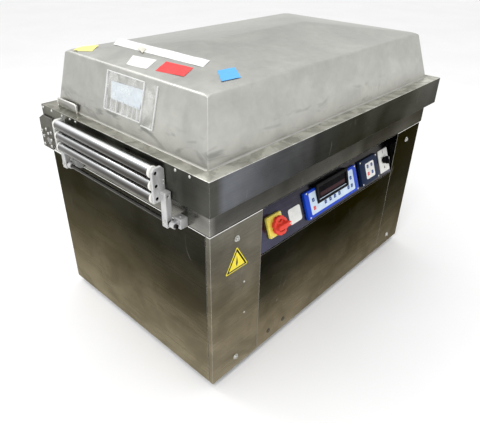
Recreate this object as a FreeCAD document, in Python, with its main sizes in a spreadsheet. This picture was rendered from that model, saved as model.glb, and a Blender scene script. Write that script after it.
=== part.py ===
# Vacuum chamber sealer: a floor-standing cabinet with a conveyor belt through its chamber,
# a tall rear-hinged lid and a fold-up roller table.
# Millimetres. +Z up, the control console faces -Y, the roller table is at the -X end.
# Every piece is measured from the middle of the lid, on the floor. The whole machine is then
# moved by mid_x and mid_y, so that the origin is the bottom centre of its bounding box.
import FreeCAD, Part
import os
import re
import Sketcher
from FreeCAD import Placement, Rotation, Vector

SIZES = {
    "mid_x": 15, "mid_y": -30,
    # cabinet
    "foot_rise": 25, "body_length": 1220, "body_height": 568, "front_depth": 365,
    "rear_depth": 440, "skin_gauge": 2, "tube_side": 40, "tube_inset": 2, "frame_back": 290,
    "rear_rail_height": 446, "foot_radius": 28, "foot_inset_x": 110, "foot_inset_y": 100,
    "return_lip": 15.4, "seam_gap": 1, "cheek_margin": 8,
    "louvre_left": 250, "louvre_bottom": 140, "louvre_length": 180, "louvre_width": 6,
    "louvre_pitch": 24, "louvre_count": 8,
    "washer_radius": 10, "washer_thick": 1.5, "screw_radius": 6.5, "screw_high": 5,
    "rivet_radius": 3.5, "rivet_high": 1.8, "lock_radius": 9, "lock_high": 1.2,
    # equipment inside
    "pump_left": 150, "pump_right": 190, "pump_front": 40, "pump_rear": 160, "pump_high": 210,
    "motor_radius": 88, "motor_length": 260, "oil_box_left": 260, "oil_box_front": 10,
    "oil_box_rear": 130, "oil_box_high": 170, "pipe_x": 60, "pipe_y": 60, "pipe_radius": 22,
    "box_left": 540, "box_right": 290, "box_front": 170, "box_rear": 380, "box_high": 330,
    "gland_x": 450, "gland_z": 120, "gland_radius": 10, "gland_sleeve": 12, "gland_nut": 9,
    "gland_bore": 6,
    # console
    "console_left": 400, "console_right": 421, "console_bottom": 425, "console_tilt": 20,
    "console_slope": 176, "bezel_thick": 10, "overlay_thick": 1, "overlay_recess": 1.2,
    "key_side": 12.4, "key_slot": 13, "key_depth": 6, "key_proud": 0.8, "hood_low": 2,
    "hood_high": 9,
    "switch_x": 314, "switch_up": 66, "switch_plate_side": 69, "switch_plate_wide": 70,
    "switch_plate_thick": 10, "knob_radius": 31, "knob_stand": 19, "knob_thick": 15,
    "grip_length": 58, "grip_wide": 16, "grip_high": 18, "grip_bite": 1,
    "selector_x": 373, "selector_up": 62, "selector_left": 339, "selector_right": 410,
    "selector_low": 14, "selector_top": 106, "selector_plate_thick": 3, "selector_radius": 13,
    "selector_stand": 4, "selector_thick": 12, "pointer_length": 34, "pointer_wide": 10,
    "pointer_high": 14, "shaft_radius": 5, "shaft_inside": 18, "running_gap": 0.05,
    # chamber
    "band_height": 81, "band_proud": 4, "band_front": 369, "band_rear": 354,
    "chamber_end": 577, "chamber_front": 330, "chamber_floor": 10,
    "belt_roller_radius": 20, "belt_thick": 2, "belt_gap": 0.3, "belt_half_width": 230,
    "belt_end_x": 545, "belt_axis": 651, "side_frame_y": 238, "side_frame_thick": 8,
    "seal_bar_y": 276, "seal_bar_wide": 20, "seal_bar_end": 540, "seal_bar_bottom": 645,
    "seal_bar_top": 672, "seal_rod_radius": 6, "seal_rod_x": 400, "seal_jack_radius": 16,
    "seal_jack_top": 636,
    # lid
    "apron_height": 101, "apron_end": 639.5, "apron_depth": 398, "sheet_thick": 3,
    "tank_wall": 4, "tank_end": 600.7, "tank_front": 353.5, "tank_rear": 351, "wall_rise": 168,
    "eave_end": 555.5, "eave_front": 309.4, "eave_rear": 338, "roof_rise": 37,
    "ridge_end": 247, "ridge_y": 9, "ridge_width": 2, "gasket_gap": 0.3, "gasket_high": 12,
    "gasket_wide": 12, "counter_bar_wide": 24, "counter_bar_high": 20, "counter_bar_end": 596,
    "cover_near": 232, "cover_far": 345, "cover_left": 609, "cover_right": 601,
    "cover_rise": 27, "cover_chamfer": 2.5,
    "apron_screw_drop": 8, "apron_screw_radius": 4.5, "apron_screw_high": 3.5,
    "plate_screw_radius": 5, "plate_screw_high": 7,
    # hinge and lift
    "hinge_y": 377, "hinge_z": 652, "hinge_radius": 12, "plate_thick": 6, "deck_thick": 4,
    "bearing_radius": 16, "bearing_wide": 22, "bearing_end_x": 585, "bearing_mid_x": 90,
    "slot_margin": 12, "slot_edge": 2, "lever_lean": 35, "lever_length": 84,
    "lever_thick": 12, "lever_wide": 14, "pin_radius": 4, "lift_x": 14, "lift_z": 574.5,
    "lift_radius": 16, "lift_rod_radius": 6, "lift_slot_half": 5.5, "lift_start": 110,
    "lift_length": 220, "lift_cap_half": 18, "lift_cap_thick": 12, "rod_start": 180,
    "rod_plate_half": 5,
    # roller table
    "arm_x": 651, "arm_side": 19, "arm_bottom": 593, "arm_high": 106, "pivot_z": 608,
    "pivot_radius": 6, "pivot_block_left": 639, "pivot_half_wide": 14.5, "pivot_half_high": 15,
    "eye_radius": 10, "eye_half": 8, "shaft_near": 285, "shaft_far": 289,
    "near_arm_y": 256, "far_arm_y": 258, "arm_wide": 21, "side_plate_thick": 8,
    "side_plate_left": 681, "side_plate_right": 641.5, "side_plate_drop": 11,
    "side_plate_rise": 87, "side_plate_clip": 9, "near_plate_y": 235, "far_plate_y": 250,
    "roller_x": 669,
    "roller_radius": 15.5, "cap_radius": 16.5, "cap_wide": 6, "stub_radius": 5,
    "roller_low": 679, "roller_pitch": 36.5,
}

BODY_TOP = "(foot_rise + body_height)"
RIM_TOP = "(foot_rise + body_height + band_height)"
FLANGE_TOP = "(foot_rise + body_height + band_height + apron_height)"
EAVE = "(foot_rise + body_height + band_height + apron_height + wall_rise)"
RIDGE = "(foot_rise + body_height + band_height + apron_height + wall_rise + roof_rise)"
END = "body_length/2"
LINING = "(body_length/2 - skin_gauge)"
CONSOLE_ORIGIN = ("0", "-front_depth", "console_bottom")

doc = FreeCAD.newDocument("VacuumSealer")
sheet = doc.addObject("Spreadsheet::Sheet", "Sizes")
for row, (alias, number) in enumerate(SIZES.items(), start=1):
    sheet.set(f"A{row}", alias)
    sheet.set(f"B{row}", str(number))
    sheet.setAlias(f"B{row}", alias)
doc.recompute()

NODES = []
ALIAS = re.compile(r"[a-z]+(?:_[a-z]+)+")
TURN = {
    "z": Rotation(),
    "x": Rotation(Vector(0, 1, 0), 90),
    "y": Rotation(Vector(1, 0, 0), -90),
}


# ---- helpers -------------------------------------------------------------------------------

def formula(text):
    """Point every size named in a formula at its cell in the sheet."""
    return ALIAS.sub(lambda word: "Sizes." + word.group(), str(text))


def value(text):
    """The present value of a formula, in millimetres or degrees."""
    return float(sheet.evalExpression(formula(text)))


def bind(thing, **formulas):
    for name, text in formulas.items():
        thing.setExpression(name, formula(text))


def place(thing, x, y, z):
    """Put a thing at a point measured from the middle of the lid, on the floor."""
    thing.setExpression("Placement.Base.x", formula(f"mid_x + ({x})"))
    thing.setExpression("Placement.Base.y", formula(f"mid_y + ({y})"))
    thing.setExpression("Placement.Base.z", formula(z))


def place_tilted(thing, origin, tilt, x, depth, up):
    """Put a thing in a frame that stands at origin and is turned about X by tilt degrees."""
    thing.Placement = Placement(Vector(), Rotation(Vector(1, 0, 0), 1))
    thing.setExpression("Placement.Rotation.Angle", formula(tilt))
    y = f"({depth})*cos({tilt}) - ({up})*sin({tilt})"
    z = f"({depth})*sin({tilt}) + ({up})*cos({tilt})"
    place(thing, f"{origin[0]} + ({x})", f"{origin[1]} + {y}", f"{origin[2]} + {z}")


def on_console(thing, x="0", depth="0", up="0"):
    """Put a thing on the sloping console: depth goes inwards, up goes along the slope."""
    place_tilted(thing, CONSOLE_ORIGIN, "-console_tilt", x, depth, up)


def node(thing, name):
    """Name a finished sub-part and list it for export."""
    thing.Label = name
    NODES.append(thing)
    return thing


def block(name, x, y, z):
    """A box from its lowest and highest corner, each pair of limits written as formulas."""
    box = doc.addObject("Part::Box", name)
    bind(box, Length=f"({x[1]}) - ({x[0]})", Width=f"({y[1]}) - ({y[0]})",
         Height=f"({z[1]}) - ({z[0]})")
    place(box, x[0], y[0], z[0])
    return box


def console_block(name, x, depth, up):
    """A box whose limits are measured on the sloping console."""
    box = doc.addObject("Part::Box", name)
    bind(box, Length=f"({x[1]}) - ({x[0]})", Width=f"({depth[1]}) - ({depth[0]})",
         Height=f"({up[1]}) - ({up[0]})")
    on_console(box, x[0], depth[0], up[0])
    return box


def rod(name, axis, start, radius, length):
    """A cylinder that starts at a point and runs along +X, +Y or +Z."""
    cylinder = doc.addObject("Part::Cylinder", name)
    bind(cylinder, Radius=radius, Height=length)
    cylinder.Placement = Placement(Vector(), TURN[axis])
    place(cylinder, *start)
    return cylinder


def cut(name, base, tool):
    result = doc.addObject("Part::Cut", name)
    result.Base = base
    result.Tool = tool
    return result


def fuse(name, parts):
    result = doc.addObject("Part::MultiFuse", name)
    result.Shapes = parts
    result.Refine = True
    return result


def group(name, parts):
    """Separate solids that share one sub-part, such as a set of screws."""
    result = doc.addObject("Part::Compound", name)
    result.Links = parts
    return result


def new_body(name):
    body = doc.addObject("PartDesign::Body", name)
    place(body, "0", "0", "0")
    return body


def new_sketch(body, name, role, offset="0"):
    """A sketch on one of the body's own origin planes, moved along the plane's normal."""
    sketch = body.newObject("Sketcher::SketchObject", name)
    plane = next(item for item in body.Origin.OriginFeatures if item.Role == role)
    sketch.AttachmentSupport = [(plane, "")]
    sketch.MapMode = "FlatFace"
    sketch.setExpression("AttachmentOffset.Base.z", formula(offset))
    return sketch


def pin_point(sketch, edge, end, x, y):
    """Tie one sketch point to formulas for its distances from the sketch origin."""
    for kind, text in (("DistanceX", x), ("DistanceY", y)):
        index = sketch.addConstraint(Sketcher.Constraint(kind, -1, 1, edge, end, value(text)))
        sketch.setExpression(f"Constraints[{index}]", formula(text))


def outline(sketch, points):
    """A closed polygon whose corners are pairs of formulas."""
    corners = [Vector(value(x), value(y), 0) for x, y in points]
    first = sketch.GeometryCount
    for i, corner in enumerate(corners):
        sketch.addGeometry(Part.LineSegment(corner, corners[(i + 1) % len(corners)]), False)
    for i, (x, y) in enumerate(points):
        following = first + (i + 1) % len(corners)
        sketch.addConstraint(Sketcher.Constraint("Coincident", first + i, 2, following, 1))
        pin_point(sketch, first + i, 1, x, y)


def rectangle(sketch, x, y):
    outline(sketch, [(x[0], y[0]), (x[1], y[0]), (x[1], y[1]), (x[0], y[1])])


def circle(sketch, x, y, radius):
    shape = Part.Circle(Vector(value(x), value(y), 0), Vector(0, 0, 1), value(radius))
    edge = sketch.addGeometry(shape, False)
    index = sketch.addConstraint(Sketcher.Constraint("Radius", edge, value(radius)))
    sketch.setExpression(f"Constraints[{index}]", formula(radius))
    pin_point(sketch, edge, 3, x, y)


def pad(body, sketch, length, reverse=False):
    feature = body.newObject("PartDesign::Pad", sketch.Name + "Pad")
    feature.Profile = sketch
    feature.Reversed = reverse
    bind(feature, Length=length)
    return feature


def pocket(body, sketch, length, reverse=False):
    """Cut a sketch into the body, and make sure that it removed something."""
    doc.recompute()
    before = body.Shape.Volume
    feature = body.newObject("PartDesign::Pocket", sketch.Name + "Pocket")
    feature.Profile = sketch
    feature.Reversed = reverse
    bind(feature, Length=length)
    doc.recompute()
    if body.Shape.Volume >= before:
        raise RuntimeError(f"{feature.Name} removed nothing")
    return feature


def loft(body, kind, lower, upper):
    feature = body.newObject(kind, upper.Name + "Loft")
    feature.Profile = lower
    feature.Sections = [upper]
    feature.Ruled = True
    return feature


# ---- cabinet -------------------------------------------------------------------------------

def base_frame():
    """Square-tube frame with posts, rails and the shelf that carries the pump."""
    outer = LINING
    inner = f"({LINING} - tube_side)"
    front = ("-front_depth + tube_inset", "-front_depth + tube_inset + tube_side")
    rear = ("rear_depth - tube_inset - tube_side", "rear_depth - tube_inset")
    foot = ("foot_rise", "foot_rise + tube_side")
    full_x = (f"-{outer}", outer)
    full_y = (front[0], rear[1])
    parts = []
    for side, x in (("Left", (f"-{outer}", f"-{inner}")), ("Right", (inner, outer))):
        parts.append(block(f"{side}FrontPost", x, front, ("foot_rise", BODY_TOP)))
        parts.append(block(f"{side}RearPost", x, rear, ("foot_rise", BODY_TOP)))
        parts.append(block(f"{side}FootRail", x, full_y, foot))
        parts.append(block(f"{side}TopRail", x, full_y, (f"{BODY_TOP} - tube_side", BODY_TOP)))
        sign = "-" if side == "Left" else ""
        middle = f"{sign}({END} - foot_inset_x)"
        cross_x = (f"{middle} - tube_side/2", f"{middle} + tube_side/2")
        parts.append(block(f"{side}CrossRail", cross_x, full_y, foot))
    parts.append(block("FrontFootRail", full_x, front, foot))
    parts.append(block("RearFootRail", full_x, rear, foot))
    top = (f"{BODY_TOP} - tube_side", BODY_TOP)
    parts.append(block("FrontTopRail", full_x, ("-frame_back", "-frame_back + tube_side"), top))
    high = ("rear_rail_height", "rear_rail_height + tube_side")
    parts.append(block("RearRail", full_x, rear, high))
    shelf = ("foot_rise + tube_side", "foot_rise + tube_side + sheet_thick")
    shelf_x = (f"-{inner} + tube_inset", f"{inner} - tube_inset")
    parts.append(block("Shelf", shelf_x, full_y, shelf))
    node(fuse("BaseFrame", parts), "base_frame")


def levelling_feet():
    """Four screw feet: a wide pad and a stem up to the frame."""
    feet = []
    for sx in ("-", ""):
        for y in ("-(front_depth - foot_inset_y)", "(rear_depth - foot_inset_y)"):
            x = f"{sx}({END} - foot_inset_x)"
            tag = f"Foot{len(feet)}"
            sole = rod(tag + "Pad", "z", (x, y, "0"), "foot_radius", "foot_rise/3")
            stem = rod(tag + "Stem", "z", (x, y, "0"), "foot_radius/3", "foot_rise")
            feet.append(fuse(tag, [sole, stem]))
    node(group("LevellingFeet", feet), "levelling_feet")


def end_panels():
    """Flat steel skins at both ends of the cabinet."""
    height = ("foot_rise", BODY_TOP)
    depth = ("-front_depth + skin_gauge + return_lip", "rear_depth - skin_gauge - seam_gap")
    left = block("LeftEndPanel", (f"-{END}", f"-{LINING}"), depth, height)
    right = block("RightEndPanel", (LINING, END), depth, height)
    node(left, "left_end_panel")
    node(right, "right_end_panel")


def rear_panel():
    """Rear skin with a column of cooling slots and the hole for the cable gland."""
    body = new_body("RearPanel")
    face = new_sketch(body, "RearFace", "XZ_Plane", "-rear_depth")
    rectangle(face, (f"-{END}", END), ("foot_rise", BODY_TOP))
    circle(face, "-gland_x", "gland_z", "gland_radius + running_gap")
    pad(body, face, "skin_gauge")
    slot = new_sketch(body, "RearSlot", "XZ_Plane", "-rear_depth")
    rectangle(slot, ("louvre_left", "louvre_left + louvre_length"),
              ("louvre_bottom", "louvre_bottom + louvre_width"))
    cutter = pocket(body, slot, "skin_gauge", reverse=True)
    rows = body.newObject("PartDesign::LinearPattern", "RearSlotRows")
    rows.Originals = [cutter]
    rows.Direction = (slot, ["V_Axis"])
    rows.Occurrences = int(SIZES["louvre_count"])
    bind(rows, Length="louvre_pitch*(louvre_count - 1)")
    body.Tip = rows
    node(body, "rear_panel")


def post_panel(name, label, edge, hand):
    """Front corner skin: the face, its return round the corner and the console cheek."""
    outer = f"{hand}{END}"
    lining = f"{hand}{LINING}"
    front, back = "-front_depth", "-front_depth + skin_gauge"
    lip = "-front_depth + return_lip"
    body = new_body(name)
    plan = new_sketch(body, name + "Plan", "XY_Plane", "foot_rise")
    outline(plan, [(outer, front), (edge, front), (edge, back), (lining, back),
                   (lining, lip), (outer, lip)])
    pad(body, plan, "body_height")
    cheek = new_sketch(body, name + "Cheek", "XY_Plane", "console_bottom")
    cheek_side = f"{edge} + {hand or '+'}skin_gauge"
    rectangle(cheek, (edge, cheek_side), (front, "-frame_back - cheek_margin"))
    pad(body, cheek, f"{BODY_TOP} - console_bottom")
    node(body, label)


def service_panel():
    """Removable lower front panel with a folded top lip."""
    body = new_body("ServicePanel")
    section = new_sketch(body, "ServiceSection", "YZ_Plane", "-console_left + seam_gap")
    front, back = "-front_depth", "-front_depth + skin_gauge"
    low, top = "foot_rise + skin_gauge", "console_bottom - skin_gauge"
    lip = "-front_depth + return_lip"
    outline(section, [(front, low), (back, low), (back, f"{top} - skin_gauge"),
                      (lip, f"{top} - skin_gauge"), (lip, top), (front, top)])
    pad(body, section, "console_left + console_right - 2*seam_gap")
    node(body, "service_panel")


def rear_deck():
    """Strip behind the chamber that carries the hinge bearings, slotted for the lift lever."""
    deck = block("DeckStrip", (f"-{END}", END), ("band_rear + seam_gap", "rear_depth"),
                 (BODY_TOP, f"{BODY_TOP} + deck_thick"))
    slot = block("DeckSlot", ("-lift_x", "lift_x + slot_margin"),
                 ("band_rear + slot_edge", "rear_depth - slot_edge"),
                 (f"{BODY_TOP} - 1", f"{BODY_TOP} + deck_thick + 1"))
    node(cut("RearDeck", deck, slot), "rear_deck")


CAP_SCREWS = [(f"-{END} + 103", "540"), (f"-{END} + 104", "71"),
              (f"{END} - 103", "540"), (f"{END} - 104", "71")]
RIVETS = [(f"-{END} + 138", "366"), (f"-{END} + 141", "241")]
PANEL_LOCKS = [("-338", "66"), ("-256", "66")]


def cabinet_fasteners():
    """Cap screws with washers, rivets and panel locks on the front of the cabinet."""
    pieces = []
    for i, (x, z) in enumerate(CAP_SCREWS):
        washer_y = "-front_depth - washer_thick"
        washer = rod(f"Washer{i}", "y", (x, washer_y, z), "washer_radius", "washer_thick")
        head = rod(f"CapScrew{i}", "y", (x, f"{washer_y} - screw_high", z), "screw_radius",
                   "screw_high")
        pieces.append(fuse(f"PanelScrew{i}", [washer, head]))
    for i, (x, z) in enumerate(RIVETS):
        pieces.append(rod(f"Rivet{i}", "y", (x, "-front_depth - rivet_high", z),
                          "rivet_radius", "rivet_high"))
    for i, (x, z) in enumerate(PANEL_LOCKS):
        pieces.append(rod(f"PanelLock{i}", "y", (x, "-front_depth - lock_high", z),
                          "lock_radius", "lock_high"))
    node(group("CabinetFasteners", pieces), "cabinet_fasteners")


# ---- equipment inside the cabinet ----------------------------------------------------------

SHELF_TOP = "(foot_rise + tube_side + sheet_thick)"


def vacuum_pump():
    """Rotary vane pump on the shelf, its motor and the suction pipe up to the chamber."""
    casing = block("PumpCasing", ("-pump_left", "pump_right"), ("-pump_front", "pump_rear"),
                   (SHELF_TOP, f"{SHELF_TOP} + pump_high"))
    motor = rod("PumpMotor", "x", ("pump_right", "pipe_y", f"{SHELF_TOP} + pump_high/2"),
                "motor_radius", "motor_length")
    oil_box = block("PumpOilBox", ("-oil_box_left", "-pump_left"),
                    ("-oil_box_front", "oil_box_rear"),
                    (SHELF_TOP, f"{SHELF_TOP} + oil_box_high"))
    pipe = rod("PumpPipe", "z", ("-pipe_x", "pipe_y", f"{SHELF_TOP} + pump_high"),
               "pipe_radius", f"{BODY_TOP} - ({SHELF_TOP} + pump_high)")
    node(fuse("VacuumPump", [casing, motor, oil_box, pipe]), "vacuum_pump")


def electrical_box():
    """Closed box on the shelf for the seal transformer and the switchgear."""
    node(block("ElectricalBox", ("-box_left", "-box_right"), ("box_front", "box_rear"),
               (SHELF_TOP, f"{SHELF_TOP} + box_high")), "electrical_box")


def cable_gland():
    """Gland for the supply cable, through the rear panel."""
    sleeve = rod("GlandSleeve", "y", ("-gland_x", "rear_depth - gland_sleeve", "gland_z"),
                 "gland_radius", "gland_sleeve")
    nut = rod("GlandNut", "y", ("-gland_x", "rear_depth", "gland_z"), "1.5*gland_radius",
              "gland_nut")
    dome = doc.addObject("Part::Cone", "GlandDome")
    bind(dome, Radius1="1.3*gland_radius", Radius2="0.9*gland_radius", Height="gland_nut")
    dome.Placement = Placement(Vector(), TURN["y"])
    place(dome, "-gland_x", "rear_depth + gland_nut", "gland_z")
    solid = fuse("GlandSolid", [sleeve, nut, dome])
    bore = rod("GlandBore", "y", ("-gland_x", "rear_depth - gland_sleeve - 1", "gland_z"),
               "gland_bore", "gland_sleeve + 2*gland_nut + 2")
    node(cut("CableGland", solid, bore), "cable_gland")


# ---- console -------------------------------------------------------------------------------

MAIN_KEYS = {
    "key_stop": (-115, 45), "key_start": (-115, 74),
    "key_row_1": (-51, 44), "key_row_2": (-22, 44), "key_row_3": (6, 44), "key_row_4": (35, 44),
    "key_right_1": (95, 44), "key_right_2": (118, 44), "key_right_3": (118, 73),
}
PAD_KEYS = {
    "pad_key_1": (241, 77), "pad_key_2": (270, 77), "pad_key_3": (241, 48),
    "pad_key_4": (270, 48),
}
MAIN_BEZEL = ((-157, 160), (15, 111))
MAIN_OVERLAY = ((-135, 137), (25, 102))
WINDOW = ((-96, 98), (52, 120))
PAD_BEZEL = ((187, 314), (12, 110))
PAD_OVERLAY = ((224, 287), (29, 91))
WINDOW_FIT = 0.3


def console_body(name):
    body = doc.addObject("PartDesign::Body", name)
    on_console(body)
    return body


def key_slots(sketch, keys):
    for x, up in keys.values():
        rectangle(sketch, (f"{x} - key_slot/2", f"{x} + key_slot/2"),
                  (f"{up} - key_slot/2", f"{up} + key_slot/2"))


def control_console():
    """Sloping console plate with the two switch holes."""
    body = console_body("ControlConsole")
    face = new_sketch(body, "ConsoleFace", "XZ_Plane", "0")
    rectangle(face, ("-console_left + 0.5", "console_right - 0.5"),
              ("skin_gauge", "console_slope"))
    circle(face, "-switch_x", "switch_up", "shaft_radius + running_gap")
    circle(face, "selector_x", "selector_up", "shaft_radius + running_gap")
    pad(body, face, "skin_gauge", reverse=True)
    node(body, "control_console")


def bezel(name, label, limits, field, keys, notch=None):
    """Raised frame with a shallow bed for its overlay and a well for every key."""
    body = console_body(name)
    face = new_sketch(body, name + "Face", "XZ_Plane", "0")
    if notch is None:
        rectangle(face, limits[0], limits[1])
    else:
        (left, right), (low, top) = limits
        (cut_left, cut_right), (cut_low, _) = notch
        outline(face, [(left, low), (right, low), (right, top), (cut_right, top),
                       (cut_right, cut_low), (cut_left, cut_low), (cut_left, top),
                       (left, top)])
    pad(body, face, "bezel_thick")
    bed = new_sketch(body, name + "Bed", "XZ_Plane", "bezel_thick - overlay_recess")
    rectangle(bed, field[0], field[1])
    pocket(body, bed, "overlay_recess", reverse=True)
    wells = new_sketch(body, name + "Wells", "XZ_Plane", "bezel_thick - key_depth")
    key_slots(wells, keys)
    pocket(body, wells, "key_depth", reverse=True)
    node(body, label)


def overlay(name, field, keys, notch=None):
    """Thin printed overlay with an opening for every key."""
    body = console_body(name)
    face = new_sketch(body, name + "Face", "XZ_Plane", "bezel_thick - overlay_recess")
    if notch is None:
        rectangle(face, field[0], field[1])
    else:
        (left, right), (low, top) = field
        (cut_left, cut_right), (cut_low, _) = notch
        outline(face, [(left, low), (right, low), (right, top), (cut_right, top),
                       (cut_right, cut_low), (cut_left, cut_low), (cut_left, top),
                       (left, top)])
    key_slots(face, keys)
    pad(body, face, "overlay_thick")
    return body


def display_window():
    """Hooded display block that stands above the main bezel."""
    body = console_body("DisplayWindow")
    section = new_sketch(body, "WindowSection", "YZ_Plane", WINDOW[0][0])
    low, top = WINDOW[1]
    outline(section, [("0", low), ("-bezel_thick - hood_low", low),
                      ("-bezel_thick - hood_high", top),
                      ("0", top)])
    pad(body, section, WINDOW[0][1] - WINDOW[0][0])
    node(body, "display_window")


def keys(table, face):
    """Push keys, each a small block that stands just proud of its overlay."""
    for name, (x, up) in table.items():
        key = console_block(name.title().replace("_", ""),
                            (f"{x} - key_side/2", f"{x} + key_side/2"),
                            (f"-({face}) - key_proud", f"-({face}) + key_depth/2"),
                            (f"{up} - key_side/2", f"{up} + key_side/2"))
        node(key, name)


def control_panels():
    gap = WINDOW_FIT
    notch = ((WINDOW[0][0] - gap, WINDOW[0][1] + gap), (WINDOW[1][0] - gap, WINDOW[1][1]))
    bezel("ControlBezel", "control_bezel", MAIN_BEZEL, MAIN_OVERLAY, MAIN_KEYS, notch)
    bezel("KeypadBezel", "keypad_bezel", PAD_BEZEL, PAD_OVERLAY, PAD_KEYS)
    main = overlay("MainOverlay", MAIN_OVERLAY, MAIN_KEYS, notch)
    small = overlay("PadOverlay", PAD_OVERLAY, PAD_KEYS)
    node(group("KeyOverlays", [main, small]), "key_overlays")
    display_window()
    face = "bezel_thick - overlay_recess + overlay_thick"
    keys(MAIN_KEYS, face)
    keys(PAD_KEYS, face)


def switch_plate(name, label, x, up, centre, thick):
    """Rectangular plate under a rotary switch, bored for its shaft."""
    body = console_body(name)
    face = new_sketch(body, name + "Face", "XZ_Plane", "0")
    rectangle(face, x, up)
    circle(face, *centre, "shaft_radius + running_gap")
    pad(body, face, thick)
    node(body, label)


def rotary_knob(name, label, centre, radius, stand, thick, grip):
    """Round knob that stands off the console on its shaft, with a grip bar across its face."""
    x, up = centre
    half_x, half_up, high = grip
    body = console_body(name)
    shaft = new_sketch(body, name + "Shaft", "XZ_Plane", "-shaft_inside")
    circle(shaft, x, up, "shaft_radius")
    pad(body, shaft, f"shaft_inside + {stand} + grip_bite")
    disc = new_sketch(body, name + "Disc", "XZ_Plane", stand)
    circle(disc, x, up, radius)
    pad(body, disc, thick)
    bar = new_sketch(body, name + "Grip", "XZ_Plane", f"{stand} + {thick} - grip_bite")
    rectangle(bar, (f"{x} - {half_x}", f"{x} + {half_x}"),
              (f"{up} - {half_up}", f"{up} + {half_up}"))
    pad(body, bar, high)
    node(body, label)


def switches():
    """Main switch and selector: a plate on the console and a knob on its shaft."""
    main = ("-switch_x", "switch_up")
    selector = ("selector_x", "selector_up")
    switch_plate("MainSwitchPlate", "main_switch_plate",
                 ("-switch_x - switch_plate_wide/2", "-switch_x + switch_plate_wide/2"),
                 ("switch_up - switch_plate_side/2", "switch_up + switch_plate_side/2"),
                 main, "switch_plate_thick")
    switch_plate("SelectorPlate", "selector_plate", ("selector_left", "selector_right"),
                 ("selector_low", "selector_top"), selector, "selector_plate_thick")
    rotary_knob("MainSwitchKnob", "main_switch_knob", main, "knob_radius", "knob_stand",
                "knob_thick", ("grip_length/2", "grip_wide/2", "grip_high"))
    rotary_knob("SelectorKnob", "selector_knob", selector, "selector_radius",
                "selector_stand", "selector_thick",
                ("pointer_wide/2", "pointer_length/2", "pointer_high"))


# ---- chamber -------------------------------------------------------------------------------

def chamber_base():
    """Shallow tub that the lid closes on, with the side frames and bed of the conveyor."""
    outer = block("ChamberBlock", (f"-({END} + band_proud)", f"{END} + band_proud"),
                  ("-band_front", "band_rear"), (BODY_TOP, RIM_TOP))
    hollow = block("ChamberHollow", ("-chamber_end", "chamber_end"),
                   ("-chamber_front", "chamber_front"),
                   (f"{BODY_TOP} + chamber_floor", f"{RIM_TOP} + 1"))
    parts = [cut("ChamberTub", outer, hollow)]
    frame_height = (f"{BODY_TOP} + chamber_floor - 1", "belt_axis + belt_roller_radius - 1")
    frame_x = ("-(belt_end_x + belt_roller_radius)", "belt_end_x + belt_roller_radius")
    for side, y in (("Front", ("-side_frame_y - side_frame_thick", "-side_frame_y")),
                    ("Back", ("side_frame_y", "side_frame_y + side_frame_thick"))):
        parts.append(block(f"ConveyorSide{side}", frame_x, y, frame_height))
    bed_x = ("-(belt_end_x - 28)", "belt_end_x - 28")
    parts.append(block("ConveyorBed", bed_x, ("-side_frame_y - 1", "side_frame_y + 1"),
                       ("belt_axis + belt_roller_radius - 6", "belt_axis + belt_roller_radius")))
    tub = fuse("ChamberAssembly", parts)
    bores = []
    for i, x in enumerate(("-belt_end_x", "belt_end_x")):
        bores.append(rod(f"BeltBore{i}", "y", (x, "-side_frame_y - 20", "belt_axis"),
                         "belt_roller_radius/2 + running_gap", "2*side_frame_y + 40"))
    node(cut("ChamberBase", tub, fuse("BeltBores", bores)), "chamber_base")


def belt_rollers():
    """Drive roller and idler at the two ends of the belt, each turning on its own journals."""
    for name, x in (("drive_roller", "belt_end_x"), ("idler_roller", "-belt_end_x")):
        tag = name.title().replace("_", "")
        barrel = rod(tag + "Barrel", "y", (x, "-belt_half_width - 4", "belt_axis"),
                     "belt_roller_radius", "2*belt_half_width + 8")
        journal = rod(tag + "Journal", "y",
                      (x, "-side_frame_y - side_frame_thick", "belt_axis"),
                      "belt_roller_radius/2", "2*(side_frame_y + side_frame_thick)")
        node(fuse(tag, [barrel, journal]), name)


def belt_loop(name, radius, y_from, width):
    """A flat oval around both roller axes, extruded across the belt."""
    side = block(name + "Flat", ("-belt_end_x", "belt_end_x"), (y_from, f"{y_from} + {width}"),
                 (f"belt_axis - ({radius})", f"belt_axis + ({radius})"))
    ends = [rod(f"{name}End{i}", "y", (x, y_from, "belt_axis"), radius, width)
            for i, x in enumerate(("-belt_end_x", "belt_end_x"))]
    return fuse(name, [side] + ends)


def conveyor_belt():
    """Endless belt over the bed and both rollers."""
    inside = "belt_roller_radius + belt_gap"
    outer = belt_loop("BeltOuter", f"{inside} + belt_thick - 0.2", "-belt_half_width",
                      "2*belt_half_width")
    inner = belt_loop("BeltInner", inside, "-belt_half_width - 1", "2*belt_half_width + 2")
    node(cut("ConveyorBelt", outer, inner), "conveyor_belt")


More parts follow.
